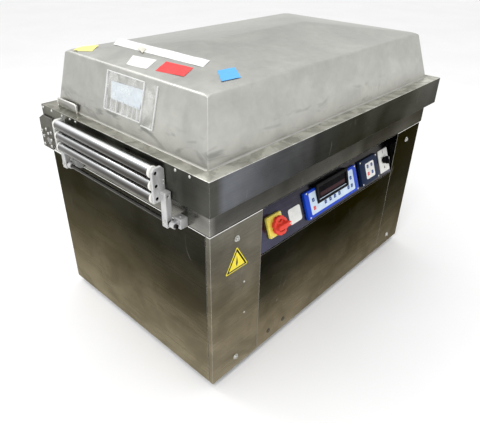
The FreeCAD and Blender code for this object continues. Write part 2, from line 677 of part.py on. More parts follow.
def seal_bars():
    """Two heated bars, each on a pair of rods that slide in the jacks under them."""
    jacks = []
    for name, side in (("front", "-"), ("rear", "")):
        y = f"{side}seal_bar_y"
        tag = f"SealBar{name.title()}"
        bar = block(tag + "Bar", ("-seal_bar_end", "seal_bar_end"),
                    (f"{y} - seal_bar_wide/2", f"{y} + seal_bar_wide/2"),
                    ("seal_bar_bottom", "seal_bar_top"))
        rods = []
        for i, x in enumerate(("-seal_rod_x", "seal_rod_x")):
            floor = f"{BODY_TOP} + chamber_floor"
            rods.append(rod(f"{tag}Rod{i}", "z", (x, y, f"{floor} + 4"), "seal_rod_radius",
                            f"seal_bar_bottom + 1 - ({floor} + 4)"))
            casing = rod(f"{tag}Jack{i}", "z", (x, y, floor), "seal_jack_radius",
                         f"seal_jack_top - ({floor})")
            bore = rod(f"{tag}JackBore{i}", "z", (x, y, f"{floor} + 2"),
                       "seal_rod_radius + running_gap", f"seal_jack_top - ({floor})")
            jacks.append(cut(f"{tag}JackBody{i}", casing, bore))
        node(fuse(tag, [bar] + rods), f"seal_bar_{name}")
    node(group("SealJacks", jacks), "seal_jacks")


# ---- lid -----------------------------------------------------------------------------------

def lid_section(body, name, inset, end, front, rear, height):
    """One level of the lid: a rectangle drawn in plan, inset by the wall."""
    level = new_sketch(body, name, "XY_Plane", height)
    rectangle(level, (f"-({end} - {inset})", f"{end} - {inset}"),
              (f"-({front}) + {inset}", f"{rear} - {inset}"))
    return level


def lid_levels(body, tag, inset, drop):
    """Wall foot, flange, eave and ridge of the lid, for its outside or its inside."""
    ridge = new_sketch(body, tag + "Ridge", "XY_Plane", f"{RIDGE} - {drop}")
    rectangle(ridge, ("-ridge_end", "ridge_end"),
              ("ridge_y - ridge_width/2", "ridge_y + ridge_width/2"))
    foot = lid_section(body, tag + "Foot", inset, "tank_end", "tank_front", "tank_rear",
                       f"{RIM_TOP} + gasket_gap + gasket_high")
    flange = lid_section(body, tag + "Flange", inset, "tank_end", "tank_front", "tank_rear",
                         f"{FLANGE_TOP} - {drop}")
    eave = lid_section(body, tag + "Eave", inset, "eave_end", "eave_front", "eave_rear",
                       f"{EAVE} - {drop}")
    return foot, flange, eave, ridge


def lid_shell():
    """Hollow hipped lid: upright foot, sloping walls and a shallow roof up to a short ridge."""
    body = new_body("LidShell")
    foot, flange, eave, ridge = lid_levels(body, "Outer", "0", "0")
    for lower, upper in ((foot, flange), (flange, eave), (eave, ridge)):
        loft(body, "PartDesign::AdditiveLoft", lower, upper)
    doc.recompute()
    solid = body.Shape.Volume
    foot, flange, eave, ridge = lid_levels(body, "Inner", "tank_wall", "tank_wall")
    for lower, upper in ((foot, flange), (flange, eave), (eave, ridge)):
        loft(body, "PartDesign::SubtractiveLoft", lower, upper)
    doc.recompute()
    if body.Shape.Volume > solid/2:
        raise RuntimeError("the lid is not hollow")
    node(body, "lid_shell")


def lid_rim():
    """Deep folded apron around the foot of the lid, with a flat top flange."""
    height = (RIM_TOP, FLANGE_TOP)
    outer = block("RimOuter", ("-apron_end", "apron_end"), ("-apron_depth", "apron_depth"),
                  height)
    inside = block("RimInside", ("-apron_end + sheet_thick", "apron_end - sheet_thick"),
                   ("-apron_depth + sheet_thick", "apron_depth - sheet_thick"),
                   (f"{RIM_TOP} - 1", f"{FLANGE_TOP} - sheet_thick"))
    mouth = block("RimMouth", ("-tank_end - 0.2", "tank_end + 0.2"),
                  ("-tank_front - 0.2", "tank_rear + 0.2"),
                  (f"{RIM_TOP} - 1", f"{FLANGE_TOP} + 1"))
    node(cut("LidRim", cut("RimFold", outer, inside), mouth), "lid_rim")


def lid_gasket():
    """Rubber seal under the foot of the lid."""
    height = (f"{RIM_TOP} + gasket_gap", f"{RIM_TOP} + gasket_gap + gasket_high")
    outer = block("GasketOuter", ("-tank_end", "tank_end"), ("-tank_front", "tank_rear"),
                  height)
    inner = block("GasketInner", ("-tank_end + gasket_wide", "tank_end - gasket_wide"),
                  ("-tank_front + gasket_wide", "tank_rear - gasket_wide"),
                  (f"{height[0]} - 1", f"{height[1]} + 1"))
    node(cut("LidGasket", outer, inner), "lid_gasket")


def counter_bars():
    """Two bars across the lid that the seal bars press against."""
    bars = []
    low = f"{RIM_TOP} + gasket_gap + gasket_high"
    for name, side in (("Front", "-"), ("Rear", "")):
        y = f"{side}seal_bar_y"
        bars.append(block(f"CounterBar{name}", ("-counter_bar_end", "counter_bar_end"),
                          (f"{y} - counter_bar_wide/2", f"{y} + counter_bar_wide/2"),
                          (low, f"{low} + counter_bar_high")))
    node(group("CounterBars", bars), "counter_bars")


def lid_corner_cover():
    """Narrow folded cover on the flange, against the foot of the hood at the roller end."""
    left, right, top = "-cover_left", "-cover_right", f"{FLANGE_TOP} + cover_rise"
    body = new_body("CornerCover")
    section = new_sketch(body, "CoverSection", "XZ_Plane", "-cover_far")
    outline(section, [(left, FLANGE_TOP), (right, FLANGE_TOP), (right, f"{top} - cover_chamfer"),
                      (f"{right} - cover_chamfer", top), (f"{left} + cover_chamfer", top),
                      (left, f"{top} - cover_chamfer")])
    pad(body, section, "cover_far - cover_near")
    node(body, "lid_corner_cover")


# Corners of a hinge cheek, as distances along Y and Z from the hinge axis.
HINGE_OUTLINE = [(-12, -30), (48, -30), (43, 72), (13, 89), (-47, 89), (-47, 4)]


def hinge_plates():
    """Cheek plate at each end that joins the lid to the hinge shaft."""
    plates = []
    for name, offset in (("Left", "-apron_end - plate_thick"), ("Right", "apron_end")):
        body = new_body(f"HingePlate{name}")
        face = new_sketch(body, f"HingeFace{name}", "YZ_Plane", offset)
        outline(face, [(f"hinge_y + ({dy})", f"hinge_z + ({dz})") for dy, dz in HINGE_OUTLINE])
        circle(face, "hinge_y", "hinge_z", "hinge_radius + running_gap")
        pad(body, face, "plate_thick")
        plates.append(body)
    node(group("HingePlates", plates), "hinge_plates")


# Screws along each apron end, as places along Y, and on each cheek from the hinge axis.
APRON_SCREWS = [-331, -278, 187, 219, 265, 330, 385]
CHEEK_SCREWS = [(30, 31), (-2, 44), (-12, 31), (-33, 39), (22, 14), (-27, 12), (25, -14),
                (-21, -12)]


def lid_fasteners():
    """Round screw heads along the apron ends and on the hinge plates."""
    heads = []
    for apron_x, cheek_x in (("-apron_end - apron_screw_high",
                              "-apron_end - plate_thick - plate_screw_high"),
                             ("apron_end", "apron_end + plate_thick")):
        for y in APRON_SCREWS:
            spot = (apron_x, y, f"{FLANGE_TOP} - apron_screw_drop")
            heads.append(rod(f"ApronScrew{len(heads)}", "x", spot, "apron_screw_radius",
                             "apron_screw_high"))
        for dy, dz in CHEEK_SCREWS:
            spot = (cheek_x, f"hinge_y + ({dy})", f"hinge_z + ({dz})")
            heads.append(rod(f"PlateScrew{len(heads)}", "x", spot, "plate_screw_radius",
                             "plate_screw_high"))
    node(group("LidFasteners", heads), "lid_fasteners")


# ---- hinge shaft and lift ------------------------------------------------------------------

def hinge_shaft():
    """Shaft the full length of the chamber, with the lift lever and its pin."""
    shaft = rod("ShaftBar", "x", ("-apron_end - plate_thick", "hinge_y", "hinge_z"),
                "hinge_radius", "2*(apron_end + plate_thick)")
    hub = rod("LeverHub", "x", ("-lever_thick/2", "hinge_y", "hinge_z"), "lever_wide",
              "lever_thick")
    blade = doc.addObject("Part::Box", "LeverBlade")
    bind(blade, Length="lever_thick", Width="lever_wide", Height="lever_length")
    place_tilted(blade, ("0", "hinge_y", "hinge_z"), "lever_lean", "-lever_thick/2",
                 "-lever_wide/2", "-lever_length")
    tip_y = "hinge_y + lever_length*sin(lever_lean)"
    tip_z = "hinge_z - lever_length*cos(lever_lean)"
    tip = rod("LeverTip", "x", ("-lever_thick/2", tip_y, tip_z), "lever_wide/2", "lever_thick")
    pin = rod("LeverPin", "x", ("-lever_thick/2", tip_y, tip_z), "pin_radius",
              "lever_thick/2 + lift_x + 8")
    node(fuse("HingeShaft", [shaft, hub, blade, tip, pin]), "hinge_shaft")


def hinge_bearings():
    """Bearing blocks on the rear deck, bored for the hinge shaft."""
    blocks = []
    places = ("-bearing_end_x", "-bearing_mid_x", "bearing_mid_x", "bearing_end_x")
    for i, x in enumerate(places):
        span = (f"{x} - bearing_wide/2", f"{x} + bearing_wide/2")
        foot = block(f"BearingFoot{i}", span, ("hinge_y - bearing_radius",
                                               "hinge_y + bearing_radius"),
                     (f"{BODY_TOP} + deck_thick", "hinge_z"))
        boss = rod(f"BearingBoss{i}", "x", (span[0], "hinge_y", "hinge_z"), "bearing_radius",
                   "bearing_wide")
        bore = rod(f"BearingBore{i}", "x", (f"{span[0]} - 1", "hinge_y", "hinge_z"),
                   "hinge_radius + running_gap", "bearing_wide + 2")
        blocks.append(cut(f"Bearing{i}", fuse(f"BearingSolid{i}", [foot, boss]), bore))
    node(group("HingeBearings", blocks), "hinge_bearings")


def lift_cylinder():
    """Air cylinder hung under the chamber, with a square cap at each end."""
    barrel = rod("LiftBarrel", "y", ("lift_x", "lift_start", "lift_z"), "lift_radius",
                 "lift_length")
    caps = []
    for i, y in enumerate(("lift_start", "lift_start + lift_length - lift_cap_thick")):
        caps.append(block(f"LiftCap{i}", ("lift_x - lift_cap_half", "lift_x + lift_cap_half"),
                          (y, f"{y} + lift_cap_thick"), ("lift_z - lift_cap_half", BODY_TOP)))
    bore = rod("LiftBore", "y", ("lift_x", "lift_start + lift_cap_thick/6", "lift_z"),
               "lift_rod_radius + running_gap", "lift_length + lift_cap_thick")
    node(cut("LiftCylinder", fuse("LiftSolid", [barrel] + caps), bore), "lift_cylinder")


def lift_rod():
    """Piston rod with an upright slotted end plate that the lever pin runs in."""
    pin_y = "hinge_y + lever_length*sin(lever_lean)"
    stem = rod("RodStem", "y", ("lift_x", "rod_start", "lift_z"), "lift_rod_radius",
               f"{pin_y} - lift_slot_half - 4 - rod_start")
    plate = block("RodPlate", ("lift_x - rod_plate_half", "lift_x + rod_plate_half"),
                  (f"{pin_y} - lift_slot_half - 5", f"{pin_y} + lift_slot_half + 5"),
                  ("lift_z - lift_cap_half", "lift_z + lift_cap_half - 0.5"))
    slot = block("RodSlot", ("lift_x - rod_plate_half - 1", "lift_x + rod_plate_half + 1"),
                 (f"{pin_y} - lift_slot_half", f"{pin_y} + lift_slot_half"),
                 ("hinge_z - lever_length - lift_slot_half", "lift_z + lift_cap_half - 3.5"))
    node(cut("LiftRod", fuse("RodSolid", [stem, plate]), slot), "lift_rod")


# ---- fold-up roller table ------------------------------------------------------------------

TABLE_SIDES = {
    "Near": {"arm": ("-near_arm_y", "-near_arm_y + arm_wide"),
             "plate": ("-near_plate_y", "-near_plate_y + side_plate_thick"),
             "block": -271},
    "Far": {"arm": ("far_arm_y", "far_arm_y + arm_wide"),
            "plate": ("far_plate_y", "far_plate_y + side_plate_thick"),
            "block": 243},
}


def pivot_blocks():
    """Cube bolted to the chamber band at each side, with an eye for the cross shaft."""
    blocks = []
    for side, spots in TABLE_SIDES.items():
        y = spots["block"]
        cube = block(f"PivotCube{side}", ("-pivot_block_left", f"-({END} + band_proud)"),
                     (f"{y} - pivot_half_wide", f"{y} + pivot_half_wide"),
                     ("pivot_z - pivot_half_high", "pivot_z + pivot_half_high"))
        eye = rod(f"PivotEye{side}", "y", ("-arm_x", f"{y} - eye_half", "pivot_z"),
                  "eye_radius", "2*eye_half")
        neck = rod(f"PivotNeck{side}", "x", ("-arm_x + eye_radius - 1", y, "pivot_z"),
                   "pivot_radius", "arm_x - pivot_block_left - eye_radius + 2")
        bore = rod(f"PivotBore{side}", "y", ("-arm_x", f"{y} - eye_half - 1", "pivot_z"),
                   "pivot_radius + running_gap", "2*eye_half + 2")
        solid = fuse(f"PivotSolid{side}", [cube, eye, neck])
        blocks.append(cut(f"PivotBlock{side}", solid, bore))
    node(group("PivotBlocks", blocks), "pivot_blocks")


def cross_shaft():
    """Shaft that both arms are clamped to."""
    node(rod("CrossShaft", "y", ("-arm_x", "-shaft_near", "pivot_z"), "pivot_radius",
             "shaft_near + shaft_far"), "cross_shaft")


def roller_arms():
    """Square arms from the cross shaft up to the side plates."""
    arms = []
    for side, spots in TABLE_SIDES.items():
        bar = block(f"ArmBar{side}", ("-arm_x - arm_side/2", "-arm_x + arm_side/2"),
                    spots["arm"], ("arm_bottom", "arm_bottom + arm_high"))
        bore = rod(f"ArmBore{side}", "y", ("-arm_x", f"{spots['arm'][0]} - 1", "pivot_z"),
                   "pivot_radius + running_gap/2", "arm_wide + 2")
        arms.append(cut(f"Arm{side}", bar, bore))
    node(group("RollerArms", arms), "roller_arms")


def roller_side_plates():
    """Plates that carry the rollers, with clipped top corners."""
    plates = []
    for side, spots in TABLE_SIDES.items():
        body = new_body(f"SidePlate{side}")
        face = new_sketch(body, f"SideFace{side}", "XZ_Plane", f"-({spots['plate'][1]})")
        low, high = "roller_low - side_plate_drop", "roller_low + side_plate_rise"
        left, right = "-side_plate_left", "-side_plate_right"
        outline(face, [(left, low), (right, low), (right, f"{high} - side_plate_clip"),
                       (f"{right} - side_plate_clip", high), (f"{left} + side_plate_clip", high),
                       (left, f"{high} - side_plate_clip")])
        for i in range(3):
            circle(face, "-roller_x", f"roller_low + {i}*roller_pitch",
                   "stub_radius + running_gap")
        pad(body, face, "side_plate_thick")
        plates.append(body)
    node(group("RollerSidePlates", plates), "roller_side_plates")


def table_rollers():
    """Three free-running rollers with end caps and stub axles."""
    near = "-near_plate_y + side_plate_thick"
    far = "far_plate_y"
    for i in range(3):
        z = f"roller_low + {i}*roller_pitch"
        tag = f"TableRoller{i + 1}"
        tube = rod(tag + "Tube", "y", ("-roller_x", f"{near} + 2 + cap_wide", z),
                   "roller_radius", f"{far} - ({near}) - 4 - 2*cap_wide")
        caps = [rod(f"{tag}Cap{side}", "y", ("-roller_x", y, z), "cap_radius", "cap_wide")
                for side, y in (("Near", f"{near} + 2"), ("Far", f"{far} - 2 - cap_wide"))]
        stub = rod(tag + "Stub", "y", ("-roller_x", "-near_plate_y + 1", z), "stub_radius",
                   "near_plate_y + far_plate_y + side_plate_thick - 2")
        node(fuse(tag, [tube, stub] + caps), f"table_roller_{i + 1}")


# ---- build, check and write ----------------------------------------------------------------

def build():
    base_frame()
    levelling_feet()
    end_panels()
    rear_panel()
    post_panel("LeftPost", "left_post_panel", "-console_left", "-")
    post_panel("RightPost", "right_post_panel", "console_right", "")
    service_panel()
    rear_deck()
    cabinet_fasteners()
    vacuum_pump()
    electrical_box()
    cable_gland()
    control_console()
    control_panels()
    switches()
    chamber_base()
    belt_rollers()
    conveyor_belt()
    seal_bars()
    lid_shell()
    lid_rim()
    lid_gasket()
    counter_bars()
    lid_corner_cover()
    hinge_plates()
    lid_fasteners()
    hinge_shaft()
    hinge_bearings()
    lift_cylinder()
    lift_rod()
    pivot_blocks()
    cross_shaft()
    roller_arms()
    roller_side_plates()
    table_rollers()


def check():
    """Stop if any object failed to rebuild or any sub-part is not a sound solid."""
    doc.recompute()
    for thing in doc.Objects:
        if {"Invalid", "Error"} & set(thing.State):
            raise RuntimeError(f"{thing.Name} failed: {thing.State}")
    for thing in NODES:
        shape = thing.Shape
        if shape.isNull() or not shape.isValid() or not shape.Solids:
            raise RuntimeError(f"{thing.Label} has no sound shape")


def write():
    os.makedirs("parts", exist_ok=True)
    for thing in NODES:
        thing.Shape.exportStep(f"parts/{thing.Label}.step")
    print(len(NODES), "sub-parts written")


build()
check()
write()
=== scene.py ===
# Looks of the vacuum chamber sealer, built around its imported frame.
# Pieces are drawn in millimetres from the middle of the lid, on the floor, and the matrices
# below carry them into the frame's metres.
import math

import bmesh
import bpy
from mathutils import Matrix, Vector, noise


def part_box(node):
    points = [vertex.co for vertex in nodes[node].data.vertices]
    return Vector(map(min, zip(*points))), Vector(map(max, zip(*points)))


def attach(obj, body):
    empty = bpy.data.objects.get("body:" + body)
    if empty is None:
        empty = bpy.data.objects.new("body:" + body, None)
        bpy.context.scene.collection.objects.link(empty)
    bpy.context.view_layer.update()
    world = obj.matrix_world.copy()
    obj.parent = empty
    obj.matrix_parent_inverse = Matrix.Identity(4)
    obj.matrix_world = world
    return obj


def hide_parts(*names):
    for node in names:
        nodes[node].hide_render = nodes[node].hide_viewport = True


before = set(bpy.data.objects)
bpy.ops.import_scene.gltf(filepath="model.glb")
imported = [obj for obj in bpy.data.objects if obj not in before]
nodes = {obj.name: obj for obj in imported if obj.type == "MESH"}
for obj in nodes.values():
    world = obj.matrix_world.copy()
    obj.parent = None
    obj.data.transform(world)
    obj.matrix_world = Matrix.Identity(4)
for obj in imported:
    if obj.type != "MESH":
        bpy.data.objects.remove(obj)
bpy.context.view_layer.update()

MM = 0.001
rim_low, rim_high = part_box("lid_rim")
MIDDLE = (rim_low + rim_high)/2


def extent(name):
    """A node's lowest and highest corners, in the machine's millimetres."""
    return [(corner - Vector((MIDDLE.x, MIDDLE.y, 0)))/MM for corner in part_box(name)]


def centre(name):
    low, high = extent(name)
    return (low + high)/2


def wide(name):
    """A node's limits along X."""
    return tuple(corner.x for corner in extent(name))


BODY_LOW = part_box("left_end_panel")[0].z/MM
BODY_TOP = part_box("left_end_panel")[1].z/MM
RIM_TOP = rim_low.z/MM
FLANGE_TOP = rim_high.z/MM
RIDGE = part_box("lid_shell")[1].z/MM
FRONT = (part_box("left_post_panel")[0].y - MIDDLE.y)/MM
END = (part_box("right_post_panel")[1].x - MIDDLE.x)/MM
REAR = (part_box("rear_panel")[1].y - MIDDLE.y)/MM
APRON_END = (rim_high.x - MIDDLE.x)/MM
PLATE_END = APRON_END + 6
EAVE = 943
FOOT_END = extent("lid_shell")[1].x
FOOT_FRONT, FOOT_REAR = (corner.y for corner in extent("lid_shell"))
EAVE_END, EAVE_FRONT, EAVE_REAR = 555.5, -309.4, 338
RIDGE_END = 247
RIDGE_Y = 9
ROOF_RISE = RIDGE - EAVE
WALL_RISE = EAVE - FLANGE_TOP
WALL_RUN = FOOT_END - EAVE_END
CONSOLE_BOTTOM = 425
CONSOLE_TILT = math.radians(20)
BEZEL_FACE = 10
OVERLAY_FACE = 9.8
KEY_FACE = 10.6
BODY_SPAN = (BODY_LOW, BODY_TOP)
PANEL_FOLD = 587.4
SHARP = math.radians(40)

# The camera is solved from the machine's edges in the photograph: metres and degrees.
VIEW_PLACE = (-1.2945, -1.1420, 1.2873)
VIEW_TURN, VIEW_TILT, VIEW_ROLL = 47.432, 31.044, 1.027
VIEW_LENS, VIEW_SENSOR = 35.73, 36

SCALE = Matrix.Diagonal((MM, MM, MM, 1))
UPRIGHT = Matrix.Translation((MIDDLE.x, MIDDLE.y, 0)) @ SCALE


def columns(x_axis, y_axis, z_axis):
    turn = Matrix((x_axis, y_axis, z_axis)).transposed()
    return turn.to_4x4()


FACES = {
    "-x": columns((0, -1, 0), (0, 0, 1), (-1, 0, 0)),
    "+x": columns((0, 1, 0), (0, 0, 1), (1, 0, 0)),
    "-y": columns((1, 0, 0), (0, 0, 1), (0, -1, 0)),
    "+y": columns((-1, 0, 0), (0, 0, 1), (0, 1, 0)),
    "+z": Matrix.Identity(4),
    "-z": columns((1, 0, 0), (0, -1, 0), (0, 0, -1)),
}


def facing(side, x, y, z):
    """Local frame at a point of the machine: its Z points out of the named side."""
    return UPRIGHT @ Matrix.Translation((x, y, z)) @ FACES[side]


def on_plane(origin, across, up):
    """Local frame on a sloping face, from one point and two directions that lie in it."""
    x_axis = Vector(across).normalized()
    z_axis = x_axis.cross(Vector(up)).normalized()
    y_axis = z_axis.cross(x_axis)
    return UPRIGHT @ Matrix.Translation(origin) @ columns(x_axis, y_axis, z_axis)


CONSOLE = on_plane((0, FRONT, CONSOLE_BOTTOM), (1, 0, 0),
                   (0, math.sin(CONSOLE_TILT), math.cos(CONSOLE_TILT)))


# ---- outlines ------------------------------------------------------------------------------

def circle(x, y, radius, count=40):
    angles = [2*math.pi*i/count for i in range(count)]
    return [(x + radius*math.cos(a), y + radius*math.sin(a)) for a in angles]


def hexagon(x, y, across, count=24):
    """A hexagon with as many points as the circles that it is joined to."""
    points = []
    for i in range(count):
        a = 2*math.pi*i/count
        reach = across/2/math.cos(a % (math.pi/3) - math.pi/6)
        points.append((x + reach*math.cos(a), y + reach*math.sin(a)))
    return points


def rounded(x, y, radius, count=5):
    """A rectangle from two pairs of limits, with rounded corners."""
    corners = ((x[1] - radius, y[1] - radius, 0), (x[0] + radius, y[1] - radius, 90),
               (x[0] + radius, y[0] + radius, 180), (x[1] - radius, y[0] + radius, 270))
    points = []
    for cx, cy, start in corners:
        for i in range(count + 1):
            a = math.radians(start + 90*i/count)
            points.append((cx + radius*math.cos(a), cy + radius*math.sin(a)))
    return points


def inset(outline, distance):
    """Move every corner inwards so that the sides stay parallel."""
    moved = []
    for i, point in enumerate(outline):
        here = Vector(point)
        before = (here - Vector(outline[i - 1])).normalized()
        after = (Vector(outline[(i + 1) % len(outline)]) - here).normalized()
        first, second = Vector((-before.y, before.x)), Vector((-after.y, after.x))
        middle = (first + second).normalized()
        moved.append(tuple(here + middle*(distance/max(middle.dot(first), 0.4))))
    return moved


def level(outline, z):
    return [(x, y, z) for x, y in outline]


def edge_levels(outline, low, high, top=1.0, bottom=0.0, steps=3):
    """Levels of a block whose upper and lower edges are rounded by the given radii."""
    levels = []
    if bottom:
        for i in range(steps):
            a = math.pi/2*i/steps
            levels.append(level(inset(outline, bottom*(1 - math.sin(a))),
                                low + bottom*(1 - math.cos(a))))
        levels.append(level(outline, low + bottom))
    else:
        levels.append(level(outline, low))
    for i in range(steps + 1):
        a = math.pi/2*i/steps
        levels.append(level(inset(outline, top*(1 - math.cos(a))), high - top*(1 - math.sin(a))))
    return levels


# ---- mesh ----------------------------------------------------------------------------------

def loft(bm, levels, matrix, closed=False):
    """Skin outlines that have equal numbers of points, with end faces or joined in a ring."""
    rings = [[bm.verts.new(matrix @ Vector(p)) for p in points] for points in levels]
    pairs = list(zip(rings, rings[1:]))
    if closed:
        pairs.append((rings[-1], rings[0]))
    for lower, upper in pairs:
        for i in range(len(lower)):
            j = (i + 1) % len(lower)
            bm.faces.new((lower[i], lower[j], upper[j], upper[i]))
    if not closed:
        bm.faces.new(rings[0][::-1])
        bm.faces.new(rings[-1])


def block(bm, outline, low, high, matrix, top=1.0, bottom=0.0):
    loft(bm, edge_levels(outline, low, high, top, bottom), matrix)


def box(bm, x, y, z, matrix=UPRIGHT, radius=1.0):
    """A box with all of its edges rounded."""
    block(bm, rounded(x, y, radius, 3), z[0], z[1], matrix, radius, radius)


def turned(bm, profile, matrix, count=32, closed=False):
    """A turned shape from pairs of radius and height."""
    loft(bm, [level(circle(0, 0, r, count), z) for r, z in profile], matrix, closed)


def tray(bm, outer, inner, low, rim, bed, matrix, edge=1.2):
    """A raised frame around a lower bed."""
    levels = edge_levels(outer, low, rim, edge)
    levels.append(level(inner, rim))
    levels.append(level(inner, bed))
    loft(bm, levels, matrix)


def socket_screw(bm, matrix, radius, height, washer=0.0):
    """A cap screw with a hexagon socket, on a washer if one is asked for."""
    base = 0
    if washer:
        turned(bm, [(washer, 0), (washer, 1.1), (washer - 0.4, 1.5), (radius*0.7, 1.5)], matrix, 24)
        base = 1.5
    top = base + height
    rings = [level(circle(0, 0, r, 24), z) for r, z in (
        (radius, base), (radius, top - height*0.35), (radius*0.94, top - height*0.12),
        (radius*0.82, top), (radius*0.62, top))]
    rings.append(level(hexagon(0, 0, radius*0.98), top - height*0.05))
    rings.append(level(hexagon(0, 0, radius*0.98), top - height*0.6))
    loft(bm, rings, matrix)


def dome_screw(bm, matrix, radius, height):
    """A low domed screw with a small hexagon socket."""
    rings = []
    for i in range(6):
        a = math.pi/2*i/6
        rings.append(level(circle(0, 0, radius*math.cos(a*0.8), 24), height*math.sin(a)))
    rings.append(level(hexagon(0, 0, radius*0.55), height))
    rings.append(level(hexagon(0, 0, radius*0.55), height*0.35))
    loft(bm, rings, matrix)


def rivet(bm, matrix, radius, height):
    profile = [(radius*math.cos(math.pi/2*i/6), height*math.sin(math.pi/2*i/6)) for i in range(6)]
    turned(bm, profile + [(radius*0.05, height)], matrix, 24)


def cross_screw(bm, matrix, radius, height):
    """A pan-head screw with a sunk star recess."""
    star = []
    for i in range(24):
        a = 2*math.pi*i/24
        reach = radius*(0.42 if i % 6 == 0 else 0.16)
        star.append((reach*math.cos(a), reach*math.sin(a)))
    rings = [level(circle(0, 0, r, 24), z) for r, z in (
        (radius, 0), (radius, height*0.4), (radius*0.85, height*0.85), (radius*0.6, height))]
    rings += [level(star, height), level(star, height*0.3)]
    loft(bm, rings, matrix)


def publish(mesh, name, material, body, replaced=(), sharp=35):
    """Make an object from a finished mesh and tie it to its body, finish and CAD nodes."""
    mesh.name = name
    mesh.shade_smooth()
    mesh.set_sharp_from_angle(angle=math.radians(sharp))
    mesh.materials.clear()
    mesh.materials.append(material)
    thing = bpy.data.objects.new(name, mesh)
    bpy.context.scene.collection.objects.link(thing)
    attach(thing, body)
    if replaced:
        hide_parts(*replaced)
    return thing


def piece(name, bm, material, body, replaced=(), sharp=35):
    bmesh.ops.remove_doubles(bm, verts=bm.verts, dist=1e-6)
    bmesh.ops.recalc_face_normals(bm, faces=bm.faces)
    mesh = bpy.data.meshes.new(name)
    bm.to_mesh(mesh)
    bm.free()
    return publish(mesh, name, material, body, replaced, sharp)


def cut_plate(outline, holes, low, high, edge, matrix):
    """Mesh of a plate with holes through it and rounded edges."""
    curve = bpy.data.curves.new("plate", "CURVE")
    curve.dimensions = "2D"
    curve.fill_mode = "BOTH"
    curve.extrude = (high - low)/2 - edge
    curve.bevel_depth = edge
    curve.bevel_resolution = 1
    curve.offset = -edge
    for points in [outline] + [hole[::-1] for hole in holes]:
        spline = curve.splines.new("POLY")
        spline.points.add(len(points) - 1)
        for target, (x, y) in zip(spline.points, points):
            target.co = (x, y, 0, 1)
        spline.use_cyclic_u = True
    holder = bpy.data.objects.new("plate", curve)
    mesh = bpy.data.meshes.new_from_object(holder)
    bpy.data.objects.remove(holder)
    mesh.transform(matrix @ Matrix.Translation((0, 0, (low + high)/2)))
    return mesh


def join(bm, mesh):
    """Add a finished mesh to one that is still being made."""
    bm.from_mesh(mesh)
    bpy.data.meshes.remove(mesh)


def bevel(thing, width, segments, limit="ANGLE"):
    """Round the sharp edges with modifiers, or with limit WEIGHT each by its bevel weight."""
    made = thing.modifiers.new("Bevel", "BEVEL")
    made.width = width*MM
    made.segments = segments
    made.limit_method = limit
    made.angle_limit = SHARP
    thing.modifiers.new("Normals", "WEIGHTED_NORMAL").keep_sharp = False
    return made


def soften(name, width):
    """Round the sharp edges of a CAD node."""
    thing = nodes[name]
    thing.modifiers.new("Weld", "WELD").merge_threshold = 1e-5
    bevel(thing, width, segments=2)


def dress(name, material, width=0):
    """Give a CAD node its material, and rounded edges if a width is given."""
    mesh = nodes[name].data
    if not mesh.materials:
        mesh.materials.append(material)
    for i in range(len(mesh.materials)):
        mesh.materials[i] = material
    if width:
        soften(name, width)


# ---- materials -----------------------------------------------------------------------------

